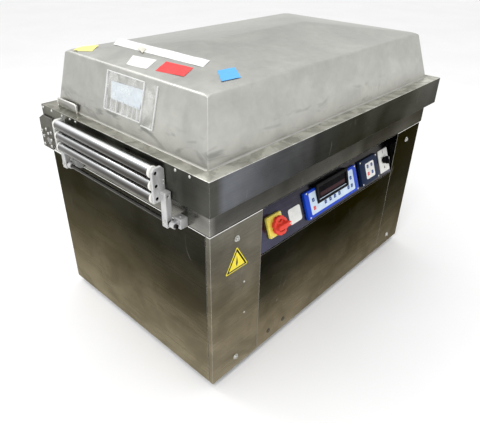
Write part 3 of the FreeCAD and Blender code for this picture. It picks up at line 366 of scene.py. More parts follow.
class Recipe:
    """Adds procedural nodes to one material. Scales are in features per metre."""

    def __init__(self, name):
        self.material = bpy.data.materials.new(name)
        self.material.use_nodes = True
        self.tree = self.material.node_tree
        self.shader = self.tree.nodes["Principled BSDF"]
        self.place = self.add("ShaderNodeTexCoord").outputs["Object"]

    def feed(self, target, content):
        """Link a socket to an input, or set the input's own value."""
        if isinstance(content, bpy.types.NodeSocket):
            self.tree.links.new(content, target)
        elif target.type == "RGBA":
            target.default_value = (*content, 1)
        else:
            target.default_value = content

    def add(self, kind, **inputs):
        made = self.tree.nodes.new(kind)
        for key, content in inputs.items():
            self.feed(made.inputs[key.replace("_", " ")], content)
        return made

    def stretched(self, stretch):
        return self.add("ShaderNodeMapping", Vector=self.place, Scale=stretch).outputs[0]

    def noise(self, scale, stretch=(1, 1, 1), detail=4.0, distort=0.0):
        return self.add("ShaderNodeTexNoise", Vector=self.stretched(stretch), Scale=scale,
                        Detail=detail, Distortion=distort).outputs["Fac"]

    def spread(self, source, low, high, start=0.35, end=0.65):
        made = self.add("ShaderNodeMapRange", Value=source, From_Min=start, From_Max=end,
                        To_Min=low, To_Max=high)
        return made.outputs[0]

    def ramp(self, source, stops):
        made = self.add("ShaderNodeValToRGB", Fac=source)
        band = made.color_ramp
        while len(band.elements) < len(stops):
            band.elements.new(1.0)
        for element, (where, colour) in zip(band.elements, stops):
            element.position = where
            element.color = (*colour, 1)
        return made.outputs[0]

    def mix(self, factor, first, second, mode="MIX"):
        made = self.tree.nodes.new("ShaderNodeMix")
        made.data_type = "RGBA"
        made.blend_type = mode
        ends = [made.inputs[0], made.inputs[6], made.inputs[7]]
        for target, content in zip(ends, (factor, first, second)):
            self.feed(target, content)
        return made.outputs[2]

    def shade(self, tone, source, stops):
        """Multiply a tone by greys that follow a source."""
        greys = [(where, (grey, grey, grey)) for where, grey in stops]
        return self.mix(1.0, tone, self.ramp(source, greys), "MULTIPLY")

    def math(self, operation, first, second):
        made = self.tree.nodes.new("ShaderNodeMath")
        made.operation = operation
        for target, content in zip(made.inputs, (first, second)):
            self.feed(target, content)
        return made.outputs[0]

    def dot(self, first, second):
        made = self.tree.nodes.new("ShaderNodeVectorMath")
        made.operation = "DOT_PRODUCT"
        self.feed(made.inputs[0], first)
        self.feed(made.inputs[1], second)
        return made.outputs["Value"]

    def axis(self, letter, low, high):
        """Zero to one between two coordinates along X, Y or Z, given in millimetres."""
        made = self.add("ShaderNodeSeparateXYZ", Vector=self.place)
        return self.spread(made.outputs[letter], 0, 1, low*MM, high*MM)

    def edges(self, radius):
        """One along sharp edges and zero on flat faces."""
        soft = self.add("ShaderNodeBevel", Radius=radius*MM)
        soft.samples = 6
        plain = self.add("ShaderNodeNewGeometry").outputs["Normal"]
        return self.spread(self.dot(soft.outputs[0], plain), 1, 0, 0.80, 0.97)

    def bump(self, height, depth, strength=1.0, below=None):
        made = self.add("ShaderNodeBump", Height=height, Distance=depth*MM, Strength=strength)
        if below is not None:
            self.tree.links.new(below, made.inputs["Normal"])
        return made.outputs[0]

    def finish(self, **inputs):
        for key, content in inputs.items():
            self.feed(self.shader.inputs[key.replace("_", " ")], content)
        return self.material


GRAIN = {"z": (2, 2, 260), "y": (2, 260, 2), "x": (260, 2, 2)}
ACROSS_SPAN = (-600, 620)
ALONG_SPAN = (-430, 370)
NEAR_STRIP = (-386, -372)
STEP = 0.4


def steel(name, stops, span, rough, grain="z", edge=None, edge_highlight_width=2.0, smudge=0.16,
          across=None, along=None, stain=None, tint=(1.0, 1.0, 1.0), drift=0.07,
          top_highlight_line=None, bloom=0.0, lines=0.09, cap=None):
    """Brushed stainless steel: a painted reflection that changes with height, smears, scratches and
    grain.

    stops are painted reflection tones from the bottom to the top of span, in millimetres from the
    floor.
    across and along are further painted reflection tones along X and Y, stain is a band of heights
    with smears, and cap is a height with painted front and rear tones of everything above it. edge
    is a painted highlight along sharp edges and the top line a painted highlight at one height.
    """
    r = Recipe(name)
    wander = r.spread(r.noise(2.2, (1, 1, 1), 3.0), -drift, drift)
    height = r.math("ADD", r.axis("Z", *span), wander)
    # Painted reflection: the stops give a tone that changes with height.
    tone = r.ramp(height, stops)
    # Painted reflection: further tones along X and Y.
    if across:
        tone = r.mix(1.0, tone, r.ramp(r.axis("X", *ACROSS_SPAN), across), "MULTIPLY")
    if along:
        tone = r.mix(1.0, tone, r.ramp(r.axis("Y", *ALONG_SPAN), along), "MULTIPLY")
    if bloom:
        patch = r.noise(3.4, (1, 1, 0.8), 2.0, 0.5)
        tone = r.shade(tone, patch, [(0.4, 1 - 0.6*bloom), (0.66, 1 + bloom)])
    # The flange top gets painted front and rear tones, a painted reflection, with stains over them.
    if cap:
        cap_height, near, rest = cap
        flat = r.mix(r.axis("Y", *NEAR_STRIP), near, rest)
        smear = r.spread(r.noise(11.0, (1, 1, 1), 7.0, 2.2), 0, 1, 0.47, 0.56)
        smears = r.ramp(smear, [(0, (1.05, 1.05, 1.05)), (1, (0.78, 0.78, 0.77))])
        flat = r.mix(1.0, flat, smears, "MULTIPLY")
        tone = r.mix(r.axis("Z", cap_height - STEP, cap_height), tone, flat)
    cloud = r.noise(5.5, (1, 1, 1.4), 6.0, 0.8)
    tone = r.shade(tone, cloud, [(0.32, 1 - smudge), (0.68, 1 + smudge)])
    tone = r.shade(tone, r.noise(34.0, (1, 1, 1), 7.0, 0.6), [(0.3, 0.95), (0.7, 1.05)])
    streak = r.noise(1.0, GRAIN[grain], 3.0)
    tone = r.shade(tone, streak, [(0.3, 1 - lines), (0.7, 1 + lines)])
    if stain:
        reach = r.math("MULTIPLY", r.axis("Z", stain[0], stain[1]),
                       r.axis("Z", stain[3], stain[2]))
        smear = r.spread(r.noise(9.0, (0.6, 0.6, 1.6), 8.0, 2.4), 0, 1, 0.54, 0.66)
        tone = r.mix(r.math("MULTIPLY", reach, r.math("MULTIPLY", smear, 0.8)), tone,
                     (0.27, 0.27, 0.25))
    vein = r.noise(7.0, (1, 1, 0.35), 1.0, 0.6)
    hair = r.math("MULTIPLY", r.spread(vein, 0, 1, 0.497, 0.5), r.spread(vein, 1, 0, 0.5, 0.503))
    where = r.spread(r.noise(9.0, (1, 1, 1), 2.0), 0, 0.35, 0.6, 0.68)
    scratch = r.math("MULTIPLY", hair, where)
    tone = r.mix(scratch, tone, (0.55, 0.54, 0.5))
    # Painted highlight along sharp edges.
    if edge:
        tone = r.mix(r.edges(edge_highlight_width), tone, edge)
    # Painted highlight along a line at one height.
    if top_highlight_line:
        tone = r.mix(r.axis("Z", top_highlight_line - STEP, top_highlight_line), tone, LID_EDGE_HIGHLIGHT)
    roughness = r.math("ADD", r.spread(cloud, rough[0], rough[1]), r.spread(streak, -0.03, 0.05))
    waves = r.bump(r.noise(2.6, (1, 1, 1), 2.0), 1.2, 0.5)
    grained = r.bump(streak, 0.05, 0.35, waves)
    return r.finish(Base_Color=tone, Metallic=1.0, Roughness=roughness, Normal=grained,
                    Specular_Tint=tint)


def metal(name, light, dark, rough, scale=40.0, stretch=(1, 1, 1), edge=None, metallic=1.0):
    """Plain metal with mottled tone, fine marks and, if an edge colour is given, a painted
    highlight along its edges.
    """
    r = Recipe(name)
    cloud = r.noise(scale, stretch, 5.0, 0.4)
    fine = r.noise(scale*14, stretch, 2.0)
    tone = r.ramp(cloud, [(0.3, dark), (0.7, light)])
    # Painted highlight along sharp edges.
    if edge:
        tone = r.mix(r.edges(1.2), tone, edge)
    return r.finish(Base_Color=tone, Metallic=metallic, Roughness=r.spread(cloud, *rough),
                    Normal=r.bump(fine, 0.04, 0.4))


HIGHLIGHT_DIRECTION = (-0.39, 0, 0.92)


def painted_highlight_bar(name):
    """Polished bar. Its tone is painted by the direction that the surface faces: a painted
    highlight along the band, painted shade below it.
    """
    r = Recipe(name)
    normal = r.add("ShaderNodeNewGeometry").outputs["Normal"]
    # Painted highlight and painted shade, set by the direction that the surface faces.
    tone = r.ramp(r.dot(normal, HIGHLIGHT_DIRECTION), [
        (0.0, (0.05, 0.043, 0.034)), (0.35, (0.045, 0.04, 0.034)), (0.62, (0.09, 0.086, 0.08)),
        (0.84, (0.26, 0.26, 0.26)), (0.96, (0.84, 0.86, 0.88)), (1.0, (0.97, 0.98, 1.0))])
    cloud = r.noise(9.0, (1, 0.15, 1), 5.0, 0.4)
    turned_marks = r.noise(2.0, (4, 240, 4), 2.0)
    tone = r.shade(tone, cloud, [(0.3, 0.9), (0.7, 1.08)])
    return r.finish(Base_Color=tone, Metallic=1.0, Roughness=r.spread(cloud, 0.2, 0.28),
                    Normal=r.bump(turned_marks, 0.03, 0.4))


def plastic(name, colour, rough=0.35, grain=0.03, edge_highlight=None, shine=0.3):
    """Moulded plastic with a faint orange-peel surface and, if a colour is given, a painted
    highlight along its edges.
    """
    r = Recipe(name)
    dark = tuple(c*0.86 for c in colour)
    cloud = r.noise(38.0, (1, 1, 1), 4.0)
    tone = r.ramp(cloud, [(0.35, dark), (0.65, colour)])
    # Painted highlight along the edges.
    if edge_highlight:
        tone = r.mix(r.math("MULTIPLY", r.edges(0.9), 0.6), tone, edge_highlight)
    skin = r.bump(r.noise(900.0, (1, 1, 1), 2.0), grain, 0.6)
    return r.finish(Base_Color=tone, Roughness=r.spread(cloud, rough - 0.06, rough + 0.08),
                    Normal=skin, Specular_IOR_Level=shine)


def rubber(name, colour, rough=0.75):
    r = Recipe(name)
    cloud = r.noise(60.0, (1, 1, 1), 6.0)
    tone = r.ramp(cloud, [(0.3, tuple(c*0.75 for c in colour)), (0.7, colour)])
    return r.finish(Base_Color=tone, Roughness=r.spread(cloud, rough - 0.1, rough + 0.1),
                    Normal=r.bump(r.noise(700.0, (1, 1, 1), 3.0), 0.08, 0.7))


def paint(name, colour, rough=0.45):
    """Sprayed machine paint: orange peel, dust and chipped edges."""
    r = Recipe(name)
    cloud = r.noise(12.0, (1, 1, 1), 6.0)
    tone = r.ramp(cloud, [(0.3, tuple(c*0.8 for c in colour)), (0.7, colour)])
    tone = r.mix(r.math("MULTIPLY", r.edges(1.5), 0.5), tone, (0.5, 0.5, 0.48))
    return r.finish(Base_Color=tone, Roughness=r.spread(cloud, rough, rough + 0.2),
                    Normal=r.bump(r.noise(350.0, (1, 1, 1), 3.0), 0.12, 0.5))


def paper(name, colour, fibre=0.05):
    """Paper or tape: fibre mottling, faint creases and a soft sheen."""
    r = Recipe(name)
    cloud = r.noise(55.0, (1, 1, 1), 6.0, 0.5)
    tone = r.ramp(cloud, [(0.3, tuple(c*(1 - 2*fibre) for c in colour)), (0.7, colour)])
    crease = r.noise(20.0, (1, 1, 1), 3.0, 1.5)
    return r.finish(Base_Color=tone, Roughness=r.spread(cloud, 0.55, 0.75),
                    Normal=r.bump(crease, 0.5, 0.5, r.bump(r.noise(800.0), 0.03, 0.5)))


def clear_film():
    """Thin clear plastic with creases and a milky haze."""
    r = Recipe("clear_film")
    cloud = r.noise(22.0, (1, 1, 0.7), 5.0, 1.2)
    crease = r.bump(cloud, 1.5, 0.8)
    veil = r.spread(cloud, 0.05, 0.4, 0.4, 0.75)
    return r.finish(Base_Color=(0.92, 0.93, 0.93), Roughness=r.spread(cloud, 0.06, 0.2),
                    Normal=crease, Alpha=veil, IOR=1.45)


def dark_glass():
    r = Recipe("dark_glass")
    cloud = r.noise(30.0, (1, 1, 1), 5.0, 0.6)
    tone = r.ramp(cloud, [(0.3, (0.001, 0.001, 0.002)), (0.7, (0.006, 0.005, 0.006))])
    return r.finish(Base_Color=tone, Roughness=r.spread(cloud, 0.25, 0.4), Specular_IOR_Level=0.02)


# Colours of painted highlights along sharp edges and along the panels' top fold.
LID_EDGE_HIGHLIGHT = (0.93, 0.93, 0.90)
BODY_EDGE_HIGHLIGHT = (0.62, 0.60, 0.55)
DULL = (0.5, 0.49, 0.45)

# Painted reflection: the tone rises above the flange and darkens towards the ridge, with painted
# highlights on its edges.
lid_steel = steel(
    "lid_brushed_steel",
    [(0.0, (0.47, 0.465, 0.43)), (0.3, (0.53, 0.53, 0.495)), (0.8, (0.49, 0.49, 0.46)),
     (1.0, (0.40, 0.40, 0.375))],
    (FLANGE_TOP - 5, RIDGE + 5), (0.36, 0.5), "y", LID_EDGE_HIGHLIGHT, 1.7, 0.09,
    stain=[FLANGE_TOP + rise for rise in (-3, 25, 37, 75)], drift=0.03, lines=0.025, bloom=0.05)
# Painted reflection: a dark apron with bright patches along X and Y, and the flange top painted
# lighter along its front, with stains over it.
apron_steel = steel(
    "apron_brushed_steel",
    [(0.0, (0.044, 0.044, 0.041)), (0.5, (0.05, 0.05, 0.047)), (1.0, (0.062, 0.062, 0.058))],
    (RIM_TOP, FLANGE_TOP + 0.2), (0.24, 0.36), "z", LID_EDGE_HIGHLIGHT, 2.2, 0.14,
    across=[(0.0, (1.1, 1.1, 1.05)), (0.02, (1.9, 2.0, 2.35)), (0.16, (1.7, 1.75, 2.0)),
            (0.45, (0.5, 0.52, 0.46)), (1.0, (1.35, 1.35, 1.35))],
    along=[(0.0, (1, 1, 1)), (0.12, (0.9, 0.9, 0.9)), (0.2, (2.6, 2.6, 2.6)),
           (0.26, (4.5, 4.5, 4.5)), (0.8, (4.0, 4.0, 4.0)), (0.9, (3.2, 3.2, 3.2))],
    tint=DULL, drift=0.0, bloom=0.5,
    cap=(FLANGE_TOP - 0.6, (0.86, 0.855, 0.80), (0.54, 0.535, 0.495)))
# Painted reflection: light near the floor and dark towards the top, with a painted highlight along
# the top fold.
body_steel = steel(
    "cabinet_brushed_steel",
    [(0.0, (0.31, 0.27, 0.19)), (0.25, (0.19, 0.162, 0.11)), (0.5, (0.07, 0.061, 0.041)),
     (0.8, (0.026, 0.0255, 0.0205)), (1.0, (0.03, 0.0295, 0.025))],
    BODY_SPAN, (0.2, 0.34), "z", BODY_EDGE_HIGHLIGHT, 2.8, 0.2, tint=DULL, top_highlight_line=PANEL_FOLD)
# Painted reflection, as on the cabinet panels.
post_steel = steel(
    "post_brushed_steel",
    [(0.0, (0.30, 0.26, 0.185)), (0.25, (0.235, 0.2, 0.138)), (0.5, (0.185, 0.16, 0.108)),
     (0.78, (0.15, 0.137, 0.108)), (1.0, (0.20, 0.195, 0.17))],
    BODY_SPAN, (0.2, 0.32), "z", BODY_EDGE_HIGHLIGHT, 2.8, 0.24, tint=DULL, drift=0.12, top_highlight_line=PANEL_FOLD)
# Painted reflection, as on the cabinet panels, and also darker towards +X.
front_steel = steel(
    "front_brushed_steel",
    [(0.0, (0.33, 0.28, 0.195)), (0.25, (0.16, 0.135, 0.09)), (0.45, (0.05, 0.046, 0.033)),
     (0.62, (0.012, 0.012, 0.0105)), (1.0, (0.007, 0.007, 0.0065))],
    BODY_SPAN, (0.18, 0.32), "z", BODY_EDGE_HIGHLIGHT, 2.8, 0.2,
    across=[(0.0, (1.2, 1.2, 1.2)), (0.2, (1.15, 1.15, 1.15)), (0.5, (0.8, 0.8, 0.8)),
            (1.0, (0.7, 0.7, 0.7))], tint=DULL, top_highlight_line=PANEL_FOLD)
# Painted shadow: near black along the bottom of the band. Painted highlight along its top edge, and
# painted reflection, much brighter at the -X end.
band_steel = steel(
    "band_brushed_steel",
    [(0.0, (0.004, 0.004, 0.004)), (0.032, (0.004, 0.004, 0.004)), (0.045, (0.09, 0.088, 0.08)),
     (0.5, (0.06, 0.059, 0.054)), (0.96, (0.05, 0.049, 0.046)), (0.99, (0.42, 0.42, 0.39))],
    (BODY_TOP, RIM_TOP + 0.4), (0.2, 0.32), "z", LID_EDGE_HIGHLIGHT, 2.0, 0.16,
    across=[(0.0, (2.8, 2.8, 2.8)), (0.02, (1.1, 1.1, 1.1)), (1.0, (0.85, 0.85, 0.83))],
    tint=DULL, drift=0.0, bloom=0.45)
# Painted reflection: a dark tone that lightens a little towards the top.
cheek_steel = steel(
    "cheek_steel",
    [(0.0, (0.17, 0.165, 0.15)), (1.0, (0.20, 0.197, 0.18))],
    (620, 745), (0.3, 0.42), "z", LID_EDGE_HIGHLIGHT, 2.0, 0.3, tint=DULL, bloom=0.3)
weld_steel = metal("weld_steel", (0.47, 0.465, 0.43), (0.36, 0.355, 0.33), (0.4, 0.55), 18.0)
# Bright tone for the painted highlight along the cover's rounded rim.
rim_highlight_steel = metal("rim_highlight_steel", (0.9, 0.89, 0.85), (0.7, 0.69, 0.65), (0.3, 0.45), 60.0)
# Painted reflection: a dark bluish plate, darker at the top, brighter at both ends and much
# brighter towards +X.
console_steel = steel(
    "console_steel",
    [(0.0, (0.06, 0.062, 0.10)), (1.0, (0.036, 0.036, 0.052))],
    (CONSOLE_BOTTOM, BODY_TOP), (0.18, 0.28), "z", BODY_EDGE_HIGHLIGHT, 1.5, 0.2,
    across=[(0.0, (1.8, 1.8, 1.8)), (0.3, (1.05, 1.0, 0.9)), (0.45, (1.1, 1.05, 0.75)),
            (0.8, (1.6, 1.5, 0.95)), (0.9, (5, 4.8, 4.2))], tint=DULL)
# Painted reflection: a tone that lightens towards the top.
inner_steel = steel(
    "inner_steel", [(0.0, (0.35, 0.345, 0.33)), (1.0, (0.5, 0.49, 0.47))],
    (560, 700), (0.3, 0.45), "x", LID_EDGE_HIGHLIGHT, 1.5, 0.1)
frame_paint = metal("frame_steel", (0.36, 0.36, 0.35), (0.2, 0.2, 0.19), (0.35, 0.55), 14.0)
# Its edge colour is a painted highlight along sharp edges.
polished = metal("polished_steel", (0.21, 0.21, 0.20), (0.15, 0.15, 0.14), (0.1, 0.17), 9.0,
                 (1, 0.15, 1), (0.9, 0.9, 0.88))
# Rollers with a painted highlight band and painted shade below it.
roller_steel = painted_highlight_bar("roller_steel")
# Lighter tone for the painted highlight on the posts' folded edges.
seam_highlight_steel = metal("seam_highlight_steel", (0.34, 0.32, 0.27), (0.2, 0.19, 0.16), (0.25, 0.4), 30.0)
lock_steel = metal("lock_steel", (0.12, 0.10, 0.07), (0.07, 0.06, 0.04), (0.3, 0.45), 60.0)
# Very dark tone: painted shade on the cross shaft under the rollers and on the axle ends sunk in
# their bores.
shaft_steel = metal("shaft_steel", (0.07, 0.068, 0.062), (0.04, 0.039, 0.036), (0.2, 0.3), 9.0)
# Its edge colour is a painted highlight along sharp edges.
screw_metal = metal("screw_steel", (0.7, 0.7, 0.68), (0.45, 0.45, 0.43), (0.22, 0.4), 90.0,
                    edge=(0.92, 0.92, 0.9))
# Its edge colour is a painted highlight along sharp edges.
aluminium = metal("satin_aluminium", (0.58, 0.585, 0.58), (0.44, 0.445, 0.44), (0.36, 0.52), 26.0,
                  (1, 1, 0.5), (0.86, 0.86, 0.85), 0.4)
# Its edge colour is a painted highlight along sharp edges.
casting = metal("cast_housing", (0.42, 0.42, 0.41), (0.25, 0.25, 0.24), (0.5, 0.7), 70.0,
                edge=(0.6, 0.6, 0.58), metallic=0.7)
nylon = plastic("nylon_cap", (0.82, 0.81, 0.76), 0.4, 0.03)
# The fourth colour of the bezels is a painted highlight along their edges.
blue = plastic("blue_bezel", (0.004, 0.055, 0.55), 0.36, 0.03, (0.2, 0.4, 0.9), 0.2)
navy = plastic("navy_bezel", (0.003, 0.014, 0.05), 0.4, 0.03, (0.06, 0.12, 0.28), 0.12)
membrane = plastic("pale_membrane", (0.62, 0.74, 0.88), 0.42, 0.02)
white_plastic = plastic("white_plastic", (0.80, 0.80, 0.77), 0.4, 0.02)
# The fourth colour of these plastics is a painted highlight along their edges.
yellow_plastic = plastic("yellow_plastic", (1.0, 0.84, 0.13), 0.34, 0.03, (1.0, 0.93, 0.5))
red_plastic = plastic("red_plastic", (0.82, 0.06, 0.035), 0.34, 0.03, (0.95, 0.4, 0.3))
black_plastic = plastic("black_plastic", (0.005, 0.005, 0.006), 0.42, 0.03,
                        (0.035, 0.035, 0.035), 0.06)
blue_key = plastic("blue_key", (0.012, 0.06, 0.25), 0.38, 0.02)
red_key = plastic("red_key", (0.75, 0.06, 0.06), 0.38, 0.02)
ink = plastic("printed_ink", (0.03, 0.03, 0.03), 0.5, 0.01)
pale_ink = plastic("pale_ink", (0.85, 0.88, 0.92), 0.5, 0.01)
filter_red = plastic("display_filter", (0.035, 0.008, 0.012), 0.2, 0.01, shine=0.1)
belt_rubber = rubber("belt_rubber", (0.20, 0.26, 0.30), 0.6)
gasket_rubber = rubber("gasket_rubber", (0.62, 0.60, 0.55), 0.7)
foot_rubber = rubber("foot_rubber", (0.05, 0.05, 0.05), 0.75)
silicone = rubber("silicone", (0.5, 0.11, 0.05), 0.5)
tape_brown = paper("heat_tape", (0.36, 0.19, 0.08), 0.1)
pump_paint = paint("pump_paint", (0.05, 0.16, 0.13))
box_paint = paint("box_paint", (0.42, 0.43, 0.42))
paper_white = paper("white_paper", (0.80, 0.80, 0.79))
paper_blue_white = paper("pouch_paper", (0.60, 0.66, 0.70), 0.08)
paper_red = paper("red_paper", (0.78, 0.05, 0.05))
paper_yellow = paper("yellow_paper", (0.86, 0.80, 0.25))
paper_blue = paper("blue_paper", (0.10, 0.42, 0.85))
sign_yellow = paper("yellow_sign", (0.90, 0.74, 0.03), 0.04)
sign_black = paper("black_sign", (0.02, 0.02, 0.02), 0.04)
tape_clear = paper("masking_tape", (0.72, 0.70, 0.60), 0.1)
film_rim = plastic("film_rim", (0.70, 0.71, 0.70), 0.3, 0.02)
film = clear_film()
glass = dark_glass()


# ---- cabinet -------------------------------------------------------------------------------

def cabinet():
    for name in ("left_end_panel", "right_end_panel", "rear_panel"):
        dress(name, body_steel, 0.6)
    dress("left_post_panel", post_steel, 0.6)
    for name in ("right_post_panel", "service_panel"):
        dress(name, front_steel, 0.6)
    dress("base_frame", frame_paint, 1.5)
    dress("levelling_feet", foot_rubber, 1.5)
    dress("rear_deck", inner_steel, 0.8)
    dress("control_console", console_steel, 0.4)
    dress("vacuum_pump", pump_paint, 4.0)
    dress("electrical_box", box_paint, 3.0)
    dress("lift_cylinder", aluminium, 0.8)
    dress("lift_rod", polished, 0.6)
    dress("hinge_bearings", casting, 1.2)
    dress("hinge_shaft", polished, 0.6)


def cabinet_screws():
    """Cap screws, rivets and panel locks on the front, and screws around the rear panel."""
    bm = bmesh.new()
    for x, z in ((-507, 540), (-506, 71), (507, 540), (506, 71)):
        socket_screw(bm, facing("-y", x, FRONT, z), 6.5, 5, washer=10)
    for x, z in ((-472, 366), (-469, 241)):
        rivet(bm, facing("-y", x, FRONT, z), 3.5, 1.8)
    for x in (-590, -300, 0, 300, 590):
        for z in (50, 568):
            dome_screw(bm, facing("+y", x, REAR, z), 4.5, 2.4)
    piece("cabinet_screws", bm, screw_metal, "cabinet", ["cabinet_fasteners"])
    bm = bmesh.new()
    for x in (-338, -256):
        turned(bm, [(9, 0), (9, 0.8), (8.2, 1.2), (6, 1.2), (5.2, 0.5)],
               facing("-y", x, FRONT, 66), 28)
    piece("panel_locks", bm, lock_steel, "cabinet")


def panel_seams():
    """Thin strips on the folded edges of the two front posts, beside the service panel, in a
    lighter tone as a painted highlight.
    """
    bm = bmesh.new()
    for x0, x1 in ((-401.4, -400), (421, 422.4)):
        box(bm, (x0, x1), (FRONT - 0.3, FRONT + 0.5), (BODY_LOW + 2, BODY_TOP - 6), radius=0.15)
    piece("panel_seams", bm, seam_highlight_steel, "cabinet")


def cable_gland():
    """Hexagon nut, ribbed dome and clamping lip of the gland."""
    bm = bmesh.new()
    matrix = facing("+y", -450, REAR, 120)
    nut = [level(hexagon(0, 0, 27), z) for z in (0, 8.2)]
    ribs = [level(circle(0, 0, r, 24), z) for r, z in (
        (13, 9), (12.6, 11), (13, 12), (12.2, 13), (12.4, 14), (10.6, 16), (9, 17.6),
        (6.4, 18), (6, 17), (6, -11), (9.9, -11), (9.9, 0))]
    loft(bm, nut + ribs, matrix, closed=True)
    piece("gland_body", bm, black_plastic, "cabinet", ["cable_gland"])


def warning_sign():
    """Blank triangular sign: a yellow face inside a black border."""
    corners = [(-553, 429.6), (-458.5, 429.6), (-506, 511)]
    outer = []
    for i, corner in enumerate(corners):
        here = Vector(corner)
        for toward in (corners[i - 1], corners[(i + 1) % 3]):
            outer.append(tuple(here + (Vector(toward) - here).normalized()*4))
    matrix = facing("-y", 0, FRONT, 0)
    for name, shift, top, material in (("sign_margin", 0, 0.35, sign_yellow),
                                       ("sign_border", 3.0, 0.45, sign_black),
                                       ("sign_field", 8.0, 0.55, sign_yellow)):
        bm = bmesh.new()
        block(bm, inset(outer, shift), 0, top, matrix, 0.1)
        piece(name, bm, material, "cabinet")
    bm = bmesh.new()
    block(bm, [(-510, 455), (-506, 441), (-502, 455), (-506, 480)], 0, 0.65, matrix, 0.1)
    piece("sign_mark", bm, sign_black, "cabinet")


# ---- console -------------------------------------------------------------------------------

KEYS = {
    "key_stop": (-115, 45, "bar"), "key_start": (-115, 74, "up"),
    "key_row_1": (-51, 44, "left"), "key_row_2": (-22, 44, "down"),
    "key_row_3": (6, 44, "up"), "key_row_4": (35, 44, "right"),
    "key_right_1": (95, 44, "down"), "key_right_2": (118, 44, "bar"),
    "key_right_3": (118, 73, "up"), "pad_key_1": (241, 77, "up"), "pad_key_2": (270, 77, "bar"),
    "pad_key_3": (241, 48, "bar"), "pad_key_4": (270, 48, "down"),
}
RED_KEYS = ("key_stop", "pad_key_3")
ARROW = [(-1.9, -1.6), (1.9, -1.6), (0, 1.9)]
BAR = [(-2.0, -0.7), (2.0, -0.7), (2.0, 0.7), (-2.0, 0.7)]
TURNS = {"up": 0, "left": 90, "down": 180, "right": 270}


def push_keys():
    """Square keys with rounded edges and a plain arrow or bar on each."""
    half = 6.2
    for name, (x, up, mark) in KEYS.items():
        middle = CONSOLE @ Matrix.Translation((x, up, 0))
        bm = bmesh.new()
        block(bm, rounded((-half, half), (-half, half), 1.6), 6.9, KEY_FACE, middle, 0.7)
        is_red = name in RED_KEYS
        material = red_key if is_red else blue_key
        piece(f"{name}_cap", bm, material, f"push_{name}", [name])
        bm = bmesh.new()
        turn = Matrix.Rotation(math.radians(TURNS.get(mark, 0)), 4, "Z")
        block(bm, BAR if mark == "bar" else ARROW, KEY_FACE - 0.1, KEY_FACE + 0.12,
              middle @ turn, 0.05)
        piece(f"{name}_mark", bm, pale_ink, f"push_{name}")


def key_holes(names):
    half = 6.5
    holes = []
    for name in names:
        x, up, _ = KEYS[name]
        holes.append(rounded((x - half, x + half), (up - half, up + half), 1.6, 3))
    return holes


def control_bezel():
    """Blue frame and its pale overlay, with holes for the keys."""
    bm = bmesh.new()
    tray(bm, rounded(wide("control_bezel"), (15, 111), 3), rounded((-135, 137), (25, 102), 4),
         0, BEZEL_FACE, 3.0, CONSOLE, 1.6)
    piece("main_bezel", bm, blue, "cabinet", ["control_bezel"])
    names = [name for name in KEYS if name.startswith("key")]
    mesh = cut_plate(rounded((-134.9, 136.9), (25.1, 101.9), 4), key_holes(names), 3.0,
                     OVERLAY_FACE, 0.15, CONSOLE)
    publish(mesh, "main_overlay", membrane, "cabinet", ["key_overlays"])


def keypad_bezel():
    """Navy frame around a small white field with four keys."""
    bm = bmesh.new()
    tray(bm, rounded(wide("keypad_bezel"), (12, 110), 3), rounded((224, 287), (29, 91), 7),
         0, BEZEL_FACE, 3.0, CONSOLE, 1.6)
    piece("small_bezel", bm, navy, "cabinet", ["keypad_bezel"])
    names = [name for name in KEYS if name.startswith("pad")]
    mesh = cut_plate(rounded((224.1, 286.9), (29.1, 90.9), 7), key_holes(names), 3.0,
                     OVERLAY_FACE, 0.15, CONSOLE)
    publish(mesh, "small_overlay", white_plastic, "cabinet")


def bezel_screws():
    bm = bmesh.new()
    for x, up in ((-145, 20), (-145, 106), (153, 20), (153, 106), (194, 18), (194, 104),
                  (307, 18), (307, 104)):
        cross_screw(bm, CONSOLE @ Matrix.Translation((x, up, BEZEL_FACE - 0.2)), 3.4, 1.6)
    piece("bezel_screws", bm, screw_metal, "cabinet")


def display():
    """Black hooded display: sloping frame, sunk glass and a red filter strip."""
    low, top = 52, 120
    rise = math.atan2(7, top - low)

    def slanted(outline, depth):
        points = []
        for x, v in outline:
            up = low + v*math.cos(rise) - depth*math.sin(rise)
            points.append((x, up, 12 + v*math.sin(rise) + depth*math.cos(rise)))
        return points

    length = (top - low)/math.cos(rise)
    outer = rounded((-96, 98), (0, length), 2.5)
    opening = rounded((-84, 86), (9, length - 12), 2.0)
    bm = bmesh.new()
    loft(bm, [level([(x, low + v*math.cos(rise)) for x, v in outer], 0),
              slanted(outer, -1.2), slanted(inset(outer, 0.4), -0.35),
              slanted(inset(outer, 1.2), 0), slanted(inset(opening, -1.0), 0),
              slanted(opening, -0.6), slanted(opening, -5)], CONSOLE)
    piece("display_hood", bm, black_plastic, "cabinet", ["display_window"])
    bm = bmesh.new()
    loft(bm, [slanted(opening, -4.9), slanted(opening, -3.4)], CONSOLE)
    piece("display_glass", bm, glass, "cabinet")
    bm = bmesh.new()
    strip = rounded((-74, 78), (19, 33), 1.5)
    loft(bm, [slanted(strip, -3.5), slanted(strip, -3.1)], CONSOLE)
    piece("display_filter", bm, filter_red, "cabinet")
    bm = bmesh.new()
    hood = rounded((-96, 98), (length - 9, length), 2.0)
    loft(bm, [slanted(hood, -2), slanted(hood, 0.3), slanted(inset(hood, 0.8), 1.0)], CONSOLE)
    piece("display_brow", bm, black_plastic, "cabinet")


